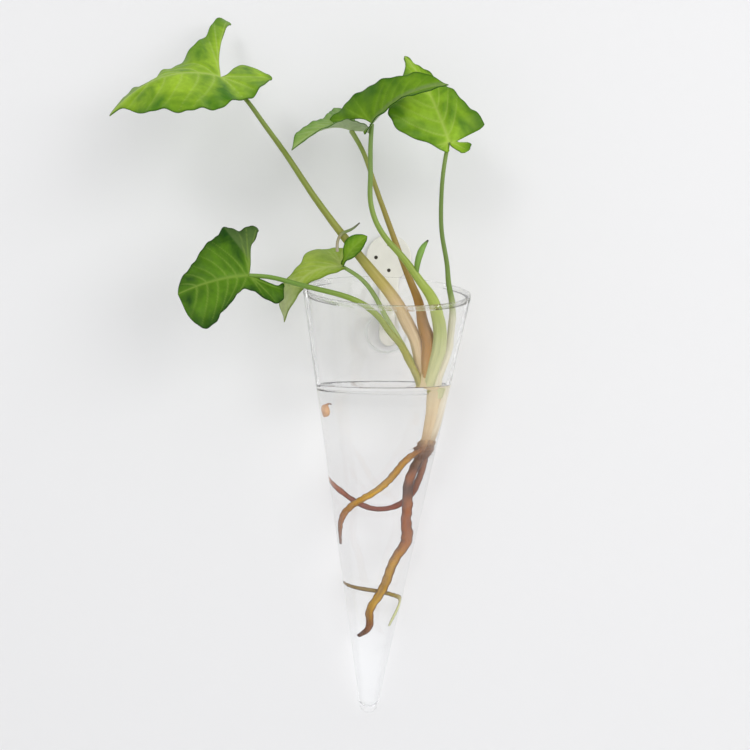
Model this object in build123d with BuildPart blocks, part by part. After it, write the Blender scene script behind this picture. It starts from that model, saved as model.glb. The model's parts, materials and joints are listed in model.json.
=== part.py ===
from build123d import *

import os
from math import asin, atan2, cos, degrees, hypot, radians, sin, tan

os.makedirs("parts", exist_ok=True)

# A glass cone hangs by a hole in its back from the peg of a pinned wall hook.
# It holds water and a rooting arrowhead-vine cutting.
# The wall is the plane Y = 0, the room is towards -Y, and Z is up.
# The origin is the centre of the four wall pins, on the hook's back face.

# Wall hook and its pins
disc_diameter = 23.0
plate_thickness = 3.0
plate_edge_round = 0.8
neck_width = 10.0
peg_diameter = 6.0
peg_drop = 34.7
peg_length = 14.0
peg_rise_angle = 35.0
peg_end_round = 2.4
pin_circle_diameter = 13.0
pin_count = 4
pin_diameter = 1.2
pin_shoulder_diameter = 1.4
pin_reach_in_wall = 8.0
pin_point_length = 1.5
pin_tip_diameter = 0.25
pin_head_diameter = 1.8
pin_head_thickness = 0.8
pin_clearance = 0.05

# Glass cone
mouth_diameter = 80.0
vase_length = 220.0
glass_wall = 1.8
foot_radius = 4.7
well_radius = 3.4
hole_diameter = 19.4
hole_below_rim = 27.3
hole_lip_width = 1.7
hole_lip_height = 0.4
hole_turn_angle = 2.0
sideways_lean_angle = 2.4
vase_side_shift = -1.2
plate_to_glass_gap = 2.2
wall_clearance = 0.2
peg_clearance = 0.3

# Water and the loose husk in it
water_below_rim = 45.5
water_clearance = 0.1
husk_below_water = 10.2
husk_length = 7.0
husk_radius = 2.3

# Cutting
foliage_height = 130.0
blade_thickness = 0.5
midrib_thickness = 1.3
cutting_clearance = 0.3
stem_radius = 4.4
side_stem_radius = 3.4
crown_radius = 4.0
root_main_radius = 2.1
root_gold_radius = 1.5
root_brown_radius = 1.4
root_cross_radius = 1.1
petiole_radii = {
    "petiole_top_left": 3.4,
    "petiole_middle_back": 2.4,
    "petiole_middle_front": 3.0,
    "petiole_right": 2.1,
    "petiole_low_left": 2.0,
    "petiole_small": 1.6,
    "young_shoot": 1.6,
    "dried_tendril": 0.6,
}
leaf_lengths = {
    "leaf_top_left": 53.0,
    "leaf_middle_back": 36.0,
    "leaf_middle_front": 38.0,
    "leaf_right": 50.0,
    "leaf_low_left": 32.5,
    "leaf_small": 37.5,
    "leaf_small_lobe": 20.0,
}

mouth_radius = mouth_diameter / 2
axial_reach = vase_length - foot_radius
foot_angle = asin(foot_radius / hypot(mouth_radius, axial_reach))
taper_angle = degrees(atan2(mouth_radius, axial_reach) - foot_angle)
taper_slope = tan(radians(taper_angle))
apex_radius = mouth_radius - taper_slope * vase_length
hole_height = vase_length - hole_below_rim
well_height = (well_radius * hypot(1, taper_slope) + glass_wall - apex_radius) / taper_slope


def glass_radius(height):
    """Outer radius of the cone at a height along its axis."""
    return apex_radius + taper_slope * height


# Hanging: the tip touches the wall, the back stands off by the hook plate,
# and the hole's upper inner edge rests on the peg.
stand_off = plate_thickness + plate_to_glass_gap
back_rise = stand_off - wall_clearance - (foot_radius - apex_radius)
back_lean_angle = degrees(asin(back_rise * cos(radians(taper_angle)) / hole_height))
tilt = radians(taper_angle + back_lean_angle)
lean = radians(sideways_lean_angle)
rise = radians(peg_rise_angle)
turn = radians(hole_turn_angle)

axis_dir = Vector(sin(lean), -sin(tilt) * cos(lean), cos(tilt) * cos(lean))
side_dir = (Vector(1, 0, 0) - axis_dir * axis_dir.X).normalized()
back_dir = axis_dir.cross(side_dir)
peg_dir = Vector(0, -cos(rise), sin(rise))

hole_out_dir = back_dir * cos(turn) + side_dir * sin(turn)
hole_offset = axis_dir * hole_height + hole_out_dir * glass_radius(hole_height)
glass_front_y = -(stand_off + glass_wall + hole_lip_height)
peg_axis_z = -peg_drop + tan(rise) * (-glass_front_y - plate_thickness)
hole_top_z = peg_axis_z + (peg_diameter / 2 + peg_clearance) / cos(rise)
tip_y = -wall_clearance - foot_radius * (1 - sin(tilt))
tip_x = vase_side_shift - hole_offset.X
vase_tip = Vector(tip_x, tip_y, hole_top_z - hole_diameter / 2 - hole_offset.Z)
mouth_centre = vase_tip + axis_dir * vase_length
vase_axis = Axis(vase_tip, axis_dir)
profile_plane = Plane(origin=vase_tip, x_dir=side_dir, z_dir=back_dir * -1)
hole_normal = hole_out_dir * cos(radians(taper_angle)) - axis_dir * sin(radians(taper_angle))
hole_plane = Plane(origin=vase_tip + hole_offset, x_dir=(1, 0, 0), z_dir=hole_normal)
water_level = mouth_centre.Z - water_below_rim
wall_plane = Plane.XZ


def in_cone(side_share, back_share, height_share):
    """Place inside the cone: shares of its inner radius there and of its length."""
    height = height_share * vase_length
    reach = glass_radius(height) - glass_wall
    across = side_dir * (side_share * reach) + back_dir * (back_share * reach)
    return vase_tip + axis_dir * height + across


def above_mouth(side_share, back_share, up_share):
    """Place outside the cone: shares of the foliage height from the mouth's centre."""
    return mouth_centre + Vector(side_share, back_share, up_share) * foliage_height


def above_rim(side_share, back_share, up_share):
    """Place beyond the rim's left end: shares of the foliage height from there."""
    rim_left = mouth_centre - side_dir * mouth_radius
    return rim_left + Vector(side_share, back_share, up_share) * foliage_height


def stalk(places, radii):
    """A round stem drawn smoothly through places, with its radius at each place."""
    with BuildPart() as piece:
        with BuildLine():
            path = Spline(*places)
        for place, radius in zip(places, radii):
            share = path.param_at_point(place)
            along = path.tangent_at(share)
            sideways = along.cross(Vector(0, 1, 0)).normalized()
            with BuildSketch(Plane(origin=place, x_dir=sideways, z_dir=along)):
                Circle(radius)
        loft()
    return piece


def save(piece, name):
    """Labels a finished piece and writes its file."""
    piece.part.label = name
    export_step(piece.part, f"parts/{name}.step")


# Wall hook: a flat round plate with a neck, and a straight peg that rises from it.
neck_end_z = -(peg_drop + neck_width / 2)
with BuildPart() as wall_hook:
    with BuildSketch(wall_plane):
        Circle(disc_diameter / 2)
        with Locations((0, neck_end_z / 2)):
            Rectangle(neck_width, -neck_end_z)
        with Locations((0, neck_end_z)):
            Circle(neck_width / 2)
    extrude(amount=plate_thickness)
    fillet(wall_hook.faces().sort_by(Axis.Y)[0].edges(), plate_edge_round)
    with BuildSketch(wall_plane):
        with PolarLocations(pin_circle_diameter / 2, pin_count):
            Circle(pin_shoulder_diameter / 2 + pin_clearance)
    extrude(amount=plate_thickness, mode=Mode.SUBTRACT)
    with BuildSketch(wall_plane.offset(plate_thickness - pin_head_thickness)):
        with PolarLocations(pin_circle_diameter / 2, pin_count):
            Circle(pin_head_diameter / 2 + pin_clearance)
    extrude(amount=pin_head_thickness, mode=Mode.SUBTRACT)
    peg_root = Vector(0, -plate_thickness / 2, -peg_drop - tan(rise) * plate_thickness / 2)
    with BuildSketch(Plane(origin=peg_root, x_dir=(1, 0, 0), z_dir=peg_dir)):
        Circle(peg_diameter / 2)
    extrude(amount=peg_length)
    fillet(wall_hook.edges().sort_by(Axis.Y)[0], peg_end_round)
save(wall_hook, "wall_hook")

# Wall pins: four headed steel pins, thicker in the plate than in the wall.
shank_end = pin_reach_in_wall - pin_point_length
point_taper = degrees(atan2((pin_diameter - pin_tip_diameter) / 2, pin_point_length))
with BuildPart() as wall_pins:
    with BuildSketch(wall_plane.offset(plate_thickness - pin_head_thickness)):
        with PolarLocations(pin_circle_diameter / 2, pin_count):
            Circle(pin_head_diameter / 2)
    extrude(amount=pin_head_thickness)
    with BuildSketch(wall_plane.offset(-shank_end)):
        with PolarLocations(pin_circle_diameter / 2, pin_count):
            Circle(pin_diameter / 2)
    extrude(amount=shank_end)
    with BuildSketch(wall_plane):
        with PolarLocations(pin_circle_diameter / 2, pin_count):
            Circle(pin_shoulder_diameter / 2)
    extrude(amount=plate_thickness - pin_head_thickness)
    with BuildSketch(wall_plane.offset(-shank_end)):
        with PolarLocations(pin_circle_diameter / 2, pin_count):
            Circle(pin_diameter / 2)
    extrude(amount=-pin_point_length, taper=point_taper)
save(wall_pins, "wall_pins")

# Raised lip round the hole: a band that follows the cone, cut to a ring.
lip_top = vase_length - glass_wall
lip_bottom = hole_height - hole_diameter
with BuildPart() as hole_lip:
    with BuildSketch(profile_plane):
        with BuildLine():
            Polyline(
                (glass_radius(lip_bottom) + hole_lip_height, lip_bottom),
                (glass_radius(lip_top) + hole_lip_height, lip_top),
                (glass_radius(lip_top) - glass_wall - hole_lip_height, lip_top),
                (glass_radius(lip_bottom) - glass_wall - hole_lip_height, lip_bottom),
                close=True,
            )
        make_face()
    revolve(axis=vase_axis)
    with BuildSketch(hole_plane.offset(-mouth_radius / 2)):
        Circle(hole_diameter / 2 + hole_lip_width)
    extrude(amount=mouth_radius, mode=Mode.INTERSECT)

# Glass cone: a thin straight cone on a solid rounded foot, with a fire-polished rim.
rim_round = glass_wall / 2
rim_height = vase_length - rim_round
with BuildPart() as glass_cone:
    with BuildSketch(profile_plane):
        with BuildLine():
            foot = CenterArc((0, foot_radius), foot_radius, -90, 90 - taper_angle)
            outside = Line(foot @ 1, (glass_radius(rim_height), rim_height))
            rim = ThreePointArc(
                outside @ 1,
                (glass_radius(rim_height) - rim_round, vase_length),
                (glass_radius(rim_height) - glass_wall, rim_height),
            )
            well = CenterArc((0, well_height), well_radius, -90, 90 - taper_angle)
            Line(rim @ 1, well @ 1)
            Line(well @ 0, foot @ 0)
        make_face()
    revolve(axis=vase_axis)
    add(hole_lip.part)
    with BuildSketch(hole_plane.offset(-mouth_radius / 2)):
        Circle(hole_diameter / 2)
    extrude(amount=mouth_radius, mode=Mode.SUBTRACT)
save(glass_cone, "glass_cone")

# Stem and side stem: the pale underwater stem of the cutting, two stalks that merge.
stem_shares = [
    (0.62, -0.02, 0.865),
    (0.64, -0.02, 0.825),
    (0.655, 0.0, 0.785),
    (0.67, 0.0, 0.74),
    (0.66, 0.0, 0.69),
    (0.65, 0.0, 0.663),
]
stem_radius_shares = [0.7, 0.95, 1.0, 0.85, 0.7, 0.6]
stem_places = [in_cone(*shares) for shares in stem_shares]
stem_radii = [stem_radius * share for share in stem_radius_shares]
stem = stalk(stem_places, stem_radii)
save(stem, "stem")

side_stem_shares = [
    (0.82, 0.0, 0.84),
    (0.82, 0.01, 0.80),
    (0.79, 0.01, 0.755),
    (0.74, 0.0, 0.71),
    (0.68, 0.0, 0.67),
]
side_stem_radius_shares = [0.8, 1.0, 1.0, 0.85, 0.65]
side_stem_places = [in_cone(*shares) for shares in side_stem_shares]
side_stem_radii = [side_stem_radius * share for share in side_stem_radius_shares]
side_stem = stalk(side_stem_places, side_stem_radii)
save(side_stem, "side_stem")

# Root crown: the knotty lower end of the stem, where the roots start.
crown_shares = [
    (0.66, 0.01, 0.68),
    (0.645, 0.0, 0.664),
    (0.615, 0.0, 0.65),
    (0.575, 0.0, 0.637),
]
crown_radius_shares = [0.8, 1.0, 0.96, 0.5]
crown_places = [in_cone(*shares) for shares in crown_shares]
crown_radii = [crown_radius * share for share in crown_radius_shares]
root_crown = stalk(crown_places, crown_radii)
save(root_crown, "root_crown")

# Roots: one long main root and three thinner ones, inside the cone.
root_main_shares = [
    (0.59, 0.0, 0.645),
    (0.50, 0.0, 0.605),
    (0.47, 0.0, 0.565),
    (0.51, 0.0, 0.53),
    (0.56, 0.0, 0.475),
    (0.63, 0.0, 0.44),
    (0.46, 0.0, 0.40),
    (0.34, 0.0, 0.355),
    (0.15, 0.0, 0.305),
    (-0.10, 0.0, 0.26),
    (-0.08, 0.0, 0.235),
    (-0.20, 0.0, 0.215),
    (-0.50, 0.0, 0.20),
]
root_main_radius_shares = [0.9, 0.9, 0.9, 0.9, 1.0, 1.15, 0.95, 0.85, 0.8, 0.72, 0.65, 0.55, 0.4]

root_gold_shares = [
    (0.60, -0.12, 0.66),
    (0.45, -0.14, 0.645),
    (0.22, -0.14, 0.60),
    (-0.06, -0.14, 0.56),
    (-0.39, -0.13, 0.53),
    (-0.63, -0.12, 0.50),
    (-0.77, -0.12, 0.465),
    (-0.82, -0.12, 0.425),
]
root_gold_radius_shares = [0.9, 1.0, 1.0, 1.0, 0.95, 0.9, 0.8, 0.5]

root_brown_shares = [
    (0.63, 0.10, 0.645),
    (0.62, 0.12, 0.605),
    (0.58, 0.14, 0.573),
    (0.42, 0.18, 0.532),
    (0.22, 0.20, 0.517),
    (-0.06, 0.22, 0.513),
    (-0.35, 0.25, 0.527),
    (-0.66, 0.28, 0.558),
    (-0.80, 0.29, 0.575),
]
root_brown_radius_shares = [1.0, 1.0, 0.95, 0.95, 0.95, 0.95, 0.9, 0.85, 0.6]

root_cross_shares = [
    (-0.80, 0.14, 0.324),
    (-0.56, 0.13, 0.32),
    (-0.19, 0.12, 0.317),
    (0.17, 0.12, 0.313),
    (0.50, 0.10, 0.305),
    (0.78, 0.06, 0.292),
    (0.80, 0.0, 0.27),
    (0.70, 0.0, 0.25),
    (0.60, 0.0, 0.228),
]
root_cross_radius_shares = [0.7, 0.9, 1.0, 1.0, 0.9, 0.8, 0.7, 0.6, 0.4]

roots = {
    "root_main": (root_main_shares, root_main_radius, root_main_radius_shares),
    "root_gold": (root_gold_shares, root_gold_radius, root_gold_radius_shares),
    "root_brown": (root_brown_shares, root_brown_radius, root_brown_radius_shares),
    "root_cross": (root_cross_shares, root_cross_radius, root_cross_radius_shares),
}
for name, (shares, radius, radius_shares) in roots.items():
    root = stalk([in_cone(*s) for s in shares], [radius * s for s in radius_shares])
    save(root, name)

# Husk: a loose brown bud scale that floats near the glass.
husk_height = (water_level - husk_below_water - vase_tip.Z) / axis_dir.Z
husk_place = in_cone(-0.78, -0.20, husk_height / vase_length)
husk_length_shares = [(-0.5, -0.1), (-0.2, -0.12), (0.15, 0.0), (0.36, 0.14), (0.55, 0.3)]
husk_radius_shares = [0.35, 0.9, 1.0, 0.5, 0.2]
husk_places = [
    husk_place + Vector(along, 0, up) * husk_length for along, up in husk_length_shares
]
husk_radii = [husk_radius * share for share in husk_radius_shares]
husk = stalk(husk_places, husk_radii)
save(husk, "husk")

# Petioles: leaf stalks, each from the stem's top through the mouth to its leaf.
over_the_rim = ("petiole_low_left", "petiole_small", "leaf_low_left", "leaf_small", "leaf_small_lobe")
petiole_shares = {
    "petiole_top_left": (
        [
            (0.64, 0.0, 0.82),
            (0.52, 0.01, 0.852),
            (0.44, 0.02, 0.89),
            (0.31, 0.03, 0.925),
            (0.16, 0.04, 0.965),
        ],
        [
            (-0.035, 0.005, 0.045),
            (-0.15, -0.005, 0.185),
            (-0.28, -0.02, 0.36),
            (-0.37, -0.03, 0.495),
            (-0.45, -0.035, 0.605),
            (-0.51, -0.045, 0.685),
            (-0.575, -0.05, 0.75),
        ],
        [0.85, 1.0, 1.0, 1.0, 0.95, 0.84, 0.62, 0.5, 0.44, 0.39, 0.35, 0.3],
    ),
    "petiole_middle_back": (
        [
            (0.66, -0.05, 0.82),
            (0.63, -0.05, 0.857),
            (0.61, -0.05, 0.893),
            (0.52, -0.05, 0.924),
            (0.42, -0.05, 0.972),
        ],
        [
            (0.09, -0.01, 0.02),
            (0.06, -0.005, 0.095),
            (0.005, 0.01, 0.245),
            (-0.055, 0.025, 0.415),
            (-0.09, 0.035, 0.51),
            (-0.13, 0.04, 0.58),
        ],
        [0.85, 1.0, 1.0, 1.0, 0.95, 0.83, 0.8, 0.7, 0.6, 0.55, 0.5],
    ),
    "petiole_middle_front": (
        [
            (0.73, -0.08, 0.833),
            (0.76, -0.12, 0.875),
            (0.73, -0.16, 0.92),
            (0.64, -0.21, 0.963),
            (0.56, -0.25, 0.992),
        ],
        [
            (0.125, -0.09, 0.02),
            (0.055, -0.095, 0.115),
            (0.005, -0.1, 0.17),
            (-0.035, -0.105, 0.23),
            (-0.06, -0.11, 0.315),
            (-0.06, -0.115, 0.4),
            (-0.06, -0.12, 0.49),
            (-0.055, -0.125, 0.58),
        ],
        [0.8, 1.0, 1.0, 0.95, 0.88, 0.8, 0.66, 0.6, 0.55, 0.5, 0.47, 0.44, 0.4],
    ),
    "petiole_right": (
        [
            (0.89, 0.0, 0.835),
            (0.92, 0.01, 0.877),
            (0.9, 0.03, 0.924),
            (0.85, 0.04, 0.97),
        ],
        [
            (0.225, 0.01, 0.025),
            (0.22, 0.0, 0.08),
            (0.2, -0.015, 0.195),
            (0.195, -0.035, 0.32),
            (0.2, -0.05, 0.41),
            (0.215, -0.06, 0.495),
            (0.22, -0.065, 0.525),
        ],
        [0.9, 1.0, 0.95, 0.85, 0.8, 0.77, 0.7, 0.65, 0.62, 0.6, 0.55],
    ),
    "petiole_low_left": (
        [
            (0.47, -0.1, 0.822),
            (0.34, -0.13, 0.856),
            (0.22, -0.16, 0.887),
            (0.05, -0.19, 0.917),
            (-0.07, -0.21, 0.943),
            (-0.39, -0.24, 0.982),
            (-0.71, -0.27, 0.999),
            (-0.96, -0.3, 1.009),
        ],
        [
            (-0.048, -0.098, 0.017),
            (-0.113, -0.103, 0.032),
            (-0.183, -0.108, 0.037),
        ],
        [0.9, 1.0, 0.97, 0.9, 0.85, 0.74, 0.66, 0.62, 0.6, 0.58, 0.55],
    ),
    "petiole_small": (
        [
            (0.43, 0.0, 0.841),
            (0.27, 0.02, 0.877),
            (0.13, 0.04, 0.909),
            (-0.01, 0.06, 0.943),
            (-0.22, 0.1, 1.0),
        ],
        [
            (0.202, 0.017, 0.037),
            (0.172, 0.027, 0.057),
            (0.147, 0.032, 0.072),
        ],
        [0.9, 1.0, 1.0, 0.95, 0.88, 0.75, 0.68, 0.6],
    ),
    "young_shoot": (
        [],
        [
            (0.105, -0.092, 0.045),
            (0.108, -0.1, 0.095),
            (0.118, -0.095, 0.13),
            (0.13, -0.09, 0.155),
            (0.145, -0.09, 0.175),
        ],
        [0.5, 0.9, 1.0, 0.8, 0.3],
    ),
    "dried_tendril": (
        [],
        [
            (-0.18, -0.024, 0.14),
            (-0.176, -0.026, 0.185),
            (-0.16, -0.026, 0.205),
            (-0.135, -0.035, 0.215),
            (-0.1, -0.045, 0.24),
        ],
        [1.0, 0.9, 0.9, 0.8, 0.6],
    ),
}
petiole_places = {}
for name, (inside_shares, outside_shares, radius_shares) in petiole_shares.items():
    outside = above_rim if name in over_the_rim else above_mouth
    places = [in_cone(*s) for s in inside_shares] + [outside(*s) for s in outside_shares]
    petiole_places[name] = (places, [petiole_radii[name] * s for s in radius_shares])
    save(stalk(*petiole_places[name]), name)


def swollen(radii, clearance):
    """The radii of the space that water leaves round a stalk."""
    return [radius + clearance for radius in radii]


# Water: fills the cone up to a level surface and closes round everything in it.
water_wall = glass_wall + water_clearance * hypot(1, taper_slope)
with BuildPart() as water:
    with BuildSketch(profile_plane):
        with BuildLine():
            pool = CenterArc(
                (0, well_height), well_radius - water_clearance, -90, 90 - taper_angle
            )
            brim = Line((0, rim_height), (glass_radius(rim_height) - water_wall, rim_height))
            Line(pool @ 1, brim @ 1)
            Line(brim @ 0, pool @ 0)
        make_face()
    revolve(axis=vase_axis)
    split(bisect_by=Plane((0, 0, water_level)), keep=Keep.BOTTOM)
    wet_pieces = [
        stalk(stem_places, swollen(stem_radii, cutting_clearance)),
        stalk(side_stem_places, swollen(side_stem_radii, cutting_clearance)),
        stalk(crown_places, swollen(crown_radii, cutting_clearance)),
        stalk(husk_places, swollen(husk_radii, water_clearance)),
    ]
    for shares, radius, radius_shares in roots.values():
        root_places = [in_cone(*s) for s in shares]
        root_radii = [radius * s for s in radius_shares]
        wet_pieces.append(stalk(root_places, swollen(root_radii, cutting_clearance)))
    for places, radii in petiole_places.values():
        if min(place.Z for place in places) < water_level + max(radii):
            wet_pieces.append(stalk(places, swollen(radii, cutting_clearance)))
    for wet_piece in wet_pieces:
        add(wet_piece.part, mode=Mode.SUBTRACT)
save(water, "water")

# Leaf blades: arrow-shaped, bent along the midrib, each half folded as it grew.
midrib_overlap_share = 0.012
lobe_sweep_share = 2.4
curl_share = 0.2


def leaf(base, length, heading, facing, arch_share, halves):
    """Each half is lofted through thin sections, given as place along the midrib,
    inner and outer edge as shares of the leaf's length, and the half's fold angle."""
    tip_way = Vector(*heading).normalized()
    face_way = Vector(*facing)
    face_way = (face_way - tip_way * face_way.dot(tip_way)).normalized()
    left_way = face_way.cross(tip_way)
    with BuildPart() as blade:
        for side, half_shares in zip((1, -1), halves):
            for along, inner, outer, fold_angle in half_shares:
                on_rib = along >= 0
                hump = 4 * along * (1 - along) if on_rib else lobe_sweep_share * along
                start = -midrib_overlap_share if on_rib else inner
                top = []
                for across in (start, (start + outer) / 2, outer):
                    flat = across * cos(radians(fold_angle))
                    lift = arch_share * hump + across * sin(radians(fold_angle))
                    lift = lift - curl_share * across**2
                    top.append((side * flat * length, lift * length))
                rib_depth = midrib_thickness if on_rib else blade_thickness
                depths = (rib_depth, blade_thickness, blade_thickness)
                under = [(x, y - depth) for (x, y), depth in zip(top, depths)]
                station = base + tip_way * (along * length)
                with BuildSketch(Plane(origin=station, x_dir=left_way, z_dir=tip_way)):
                    with BuildLine():
                        Polyline(*top, *reversed(under), close=True)
                    make_face()
            loft()
    return blade


# Each leaf: its base above the mouth, its midrib's and its upper face's directions,
# how far the midrib arches, and its left and right halves seen from above.
leaf_shape_shares = {
    "leaf_top_left": (
        (-0.595, -0.05, 0.76),
        (-0.92, -0.19, -0.34),
        (-0.07, -0.79, 0.61),
        0.2,
        [
            (-0.43, -0.08, 0.02, 10),
            (-0.36, -0.14, 0.1, 10),
            (-0.28, -0.2, 0.19, 10),
            (-0.18, -0.16, 0.29, 10),
            (-0.06, -0.04, 0.37, 10),
            (0.05, 0, 0.43, 10),
            (0.16, 0, 0.52, 10),
            (0.3, 0, 0.55, 10),
            (0.46, 0, 0.52, 10),
            (0.6, 0, 0.43, 10),
            (0.74, 0, 0.36, 10),
            (0.84, 0, 0.2, 10),
            (0.93, 0, 0.06, 10),
            (1.0, 0, 0.02, 10),
        ],
        [
            (-0.34, 0.84, 0.92, 10),
            (-0.25, 0.67, 0.9, 10),
            (-0.15, 0.46, 0.76, 10),
            (-0.05, 0.2, 0.62, 8),
            (0.05, 0, 0.5, 4),
            (0.16, 0, 0.42, -8),
            (0.3, 0, 0.38, -24),
            (0.46, 0, 0.34, -32),
            (0.62, 0, 0.28, -38),
            (0.8, 0, 0.18, -36),
            (0.92, 0, 0.09, -30),
            (1.0, 0, 0.02, -20),
        ],
    ),
    "leaf_middle_back": (
        (-0.13, 0.04, 0.583),
        (-0.73, -0.61, -0.31),
        (0.14, -0.57, 0.81),
        0.15,
        [
            (-0.35, 0.05, 0.12, 30),
            (-0.2, 0.03, 0.22, 36),
            (-0.05, 0.01, 0.29, 40),
            (0.1, 0, 0.33, 44),
            (0.3, 0, 0.34, 46),
            (0.5, 0, 0.3, 46),
            (0.7, 0, 0.21, 44),
            (0.88, 0, 0.1, 40),
            (1.0, 0, 0.02, 40),
        ],
        [
            (-0.55, 0.5, 0.72, 14),
            (-0.4, 0.3, 0.74, 14),
            (-0.2, 0.12, 0.62, 14),
            (-0.05, 0.02, 0.5, 14),
            (0.1, 0, 0.38, 10),
            (0.3, 0, 0.27, 4),
            (0.5, 0, 0.22, 0),
            (0.7, 0, 0.19, 4),
            (0.88, 0, 0.13, 10),
            (1.0, 0, 0.02, 14),
        ],
    ),
    "leaf_middle_front": (
        (-0.055, -0.125, 0.583),
        (0.88, -0.21, 0.43),
        (-0.42, -0.79, 0.45),
        0.15,
        [
            (-0.24, 0.48, 0.55, 14),
            (-0.15, 0.35, 0.55, 14),
            (-0.06, 0.14, 0.53, 14),
            (0.05, 0, 0.49, 14),
            (0.2, 0, 0.43, 14),
            (0.38, 0, 0.36, 14),
            (0.56, 0, 0.3, 14),
            (0.74, 0, 0.25, 14),
            (0.9, 0, 0.15, 14),
            (1.0, 0, 0.02, 14),
        ],
        [
            (-0.12, 0.02, 0.1, 30),
            (-0.05, 0.01, 0.18, 40),
            (0.04, 0, 0.24, 46),
            (0.2, 0, 0.28, 48),
            (0.4, 0, 0.28, 48),
            (0.6, 0, 0.24, 46),
            (0.8, 0, 0.16, 40),
            (1.0, 0, 0.02, 30),
        ],
    ),
    "leaf_right": (
        (0.22, -0.065, 0.527),
        (-0.39, 0.36, 0.84),
        (0.15, -0.88, 0.45),
        0.1,
        [
            (-0.08, 0.03, 0.08, 10),
            (-0.02, 0.01, 0.16, 10),
            (0.06, 0, 0.28, 10),
            (0.16, 0, 0.4, 10),
            (0.27, 0, 0.48, 10),
            (0.37, 0, 0.49, 10),
            (0.48, 0, 0.42, 10),
            (0.62, 0, 0.31, 10),
            (0.76, 0, 0.19, 10),
            (0.88, 0, 0.1, 10),
            (1.0, 0, 0.02, 10),
        ],
        [
            (-0.12, 0.16, 0.24, 10),
            (-0.07, 0.1, 0.31, 10),
            (-0.02, 0.02, 0.35, 10),
            (0.06, 0, 0.37, 10),
            (0.15, 0, 0.34, 10),
            (0.27, 0, 0.29, 10),
            (0.37, 0, 0.25, 10),
            (0.48, 0, 0.2, 10),
            (0.62, 0, 0.14, 10),
            (0.78, 0, 0.07, 10),
            (0.9, 0, 0.04, 10),
            (1.0, 0, 0.02, 10),
        ],
    ),
    "leaf_low_left": (
        (-0.183, -0.11, 0.038),
        (-0.94, -0.25, -0.25),
        (0.11, -0.88, 0.46),
        0.1,
        [
            (-0.42, 0.22, 0.3, 10),
            (-0.35, 0.25, 0.5, 10),
            (-0.27, 0.2, 0.52, 10),
            (-0.17, 0.12, 0.48, 10),
            (-0.06, 0.03, 0.4, 10),
            (0.04, 0, 0.28, 10),
            (0.14, 0, 0.22, 10),
            (0.26, 0, 0.3, 10),
            (0.4, 0, 0.42, 10),
            (0.56, 0, 0.52, 10),
            (0.68, 0, 0.64, 10),
            (0.8, 0, 0.65, 10),
            (0.92, 0, 0.52, 10),
            (1.02, 0, 0.22, 10),
        ],
        [
            (-0.34, 0.68, 0.76, 10),
            (-0.26, 0.56, 0.81, 10),
            (-0.17, 0.46, 0.8, 10),
            (-0.06, 0.14, 0.77, 10),
            (0.04, 0, 0.81, 10),
            (0.14, 0, 0.83, 10),
            (0.26, 0, 0.72, 10),
            (0.4, 0, 0.62, 10),
            (0.56, 0, 0.52, 10),
            (0.68, 0, 0.39, 10),
            (0.8, 0, 0.28, 10),
            (0.92, 0, 0.22, 10),
            (1.02, 0, 0.08, 10),
        ],
    ),
    "leaf_small": (
        (0.145, 0.032, 0.074),
        (-0.735, -0.12, -0.665),
        (-0.33, -0.6, 0.72),
        0.28,
        [
            (-0.08, 0.03, 0.07, 0),
            (0.0, 0, 0.12, 0),
            (0.15, 0, 0.16, 0),
            (0.32, 0, 0.15, -10),
            (0.5, 0, 0.13, -15),
            (0.7, 0, 0.1, -15),
            (0.88, 0, 0.06, -10),
            (1.0, 0, 0.02, 0),
        ],
        [
            (-0.2, 0.34, 0.46, 8),
            (-0.12, 0.18, 0.56, 8),
            (-0.02, 0.04, 0.53, 8),
            (0.1, 0, 0.46, 8),
            (0.24, 0, 0.34, 8),
            (0.4, 0, 0.24, 8),
            (0.6, 0, 0.21, 8),
            (0.8, 0, 0.22, 8),
            (0.92, 0, 0.18, 8),
            (1.0, 0, 0.02, 8),
        ],
    ),
    "leaf_small_lobe": (
        (0.145, 0.026, 0.077),
        (0.52, -0.6, 0.62),
        (-0.5, -0.8, 0.1),
        0.14,
        [
            (0.0, 0, 0.08, 40),
            (0.2, 0, 0.17, 40),
            (0.45, 0, 0.24, 40),
            (0.7, 0, 0.25, 40),
            (0.9, 0, 0.15, 40),
            (1.0, 0, 0.04, 40),
        ],
        [
            (0.0, 0, 0.08, 40),
            (0.2, 0, 0.17, 40),
            (0.45, 0, 0.24, 40),
            (0.7, 0, 0.25, 40),
            (0.9, 0, 0.15, 40),
            (1.0, 0, 0.04, 40),
        ],
    ),
}
for name, (base_shares, heading, facing, arch_share, *halves) in leaf_shape_shares.items():
    base = above_rim(*base_shares) if name in over_the_rim else above_mouth(*base_shares)
    save(leaf(base, leaf_lengths[name], heading, facing, arch_share, halves), name)
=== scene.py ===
# %% [markdown]
# # A propagation vase on its wall hook
# A clear glass cone hangs by a hole in its back from the peg of a small plastic hook. It is
# three quarters full of water, and a cutting of an arrowhead vine grows its roots in it.
# The CAD model gives every piece its place and size. This lesson gives each piece the shape
# and finish of the real one: thin glass, still water, living leaves and fuzzy roots.

import json
from math import asin, atan2, cos, hypot, pi, radians, sin, tan

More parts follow.
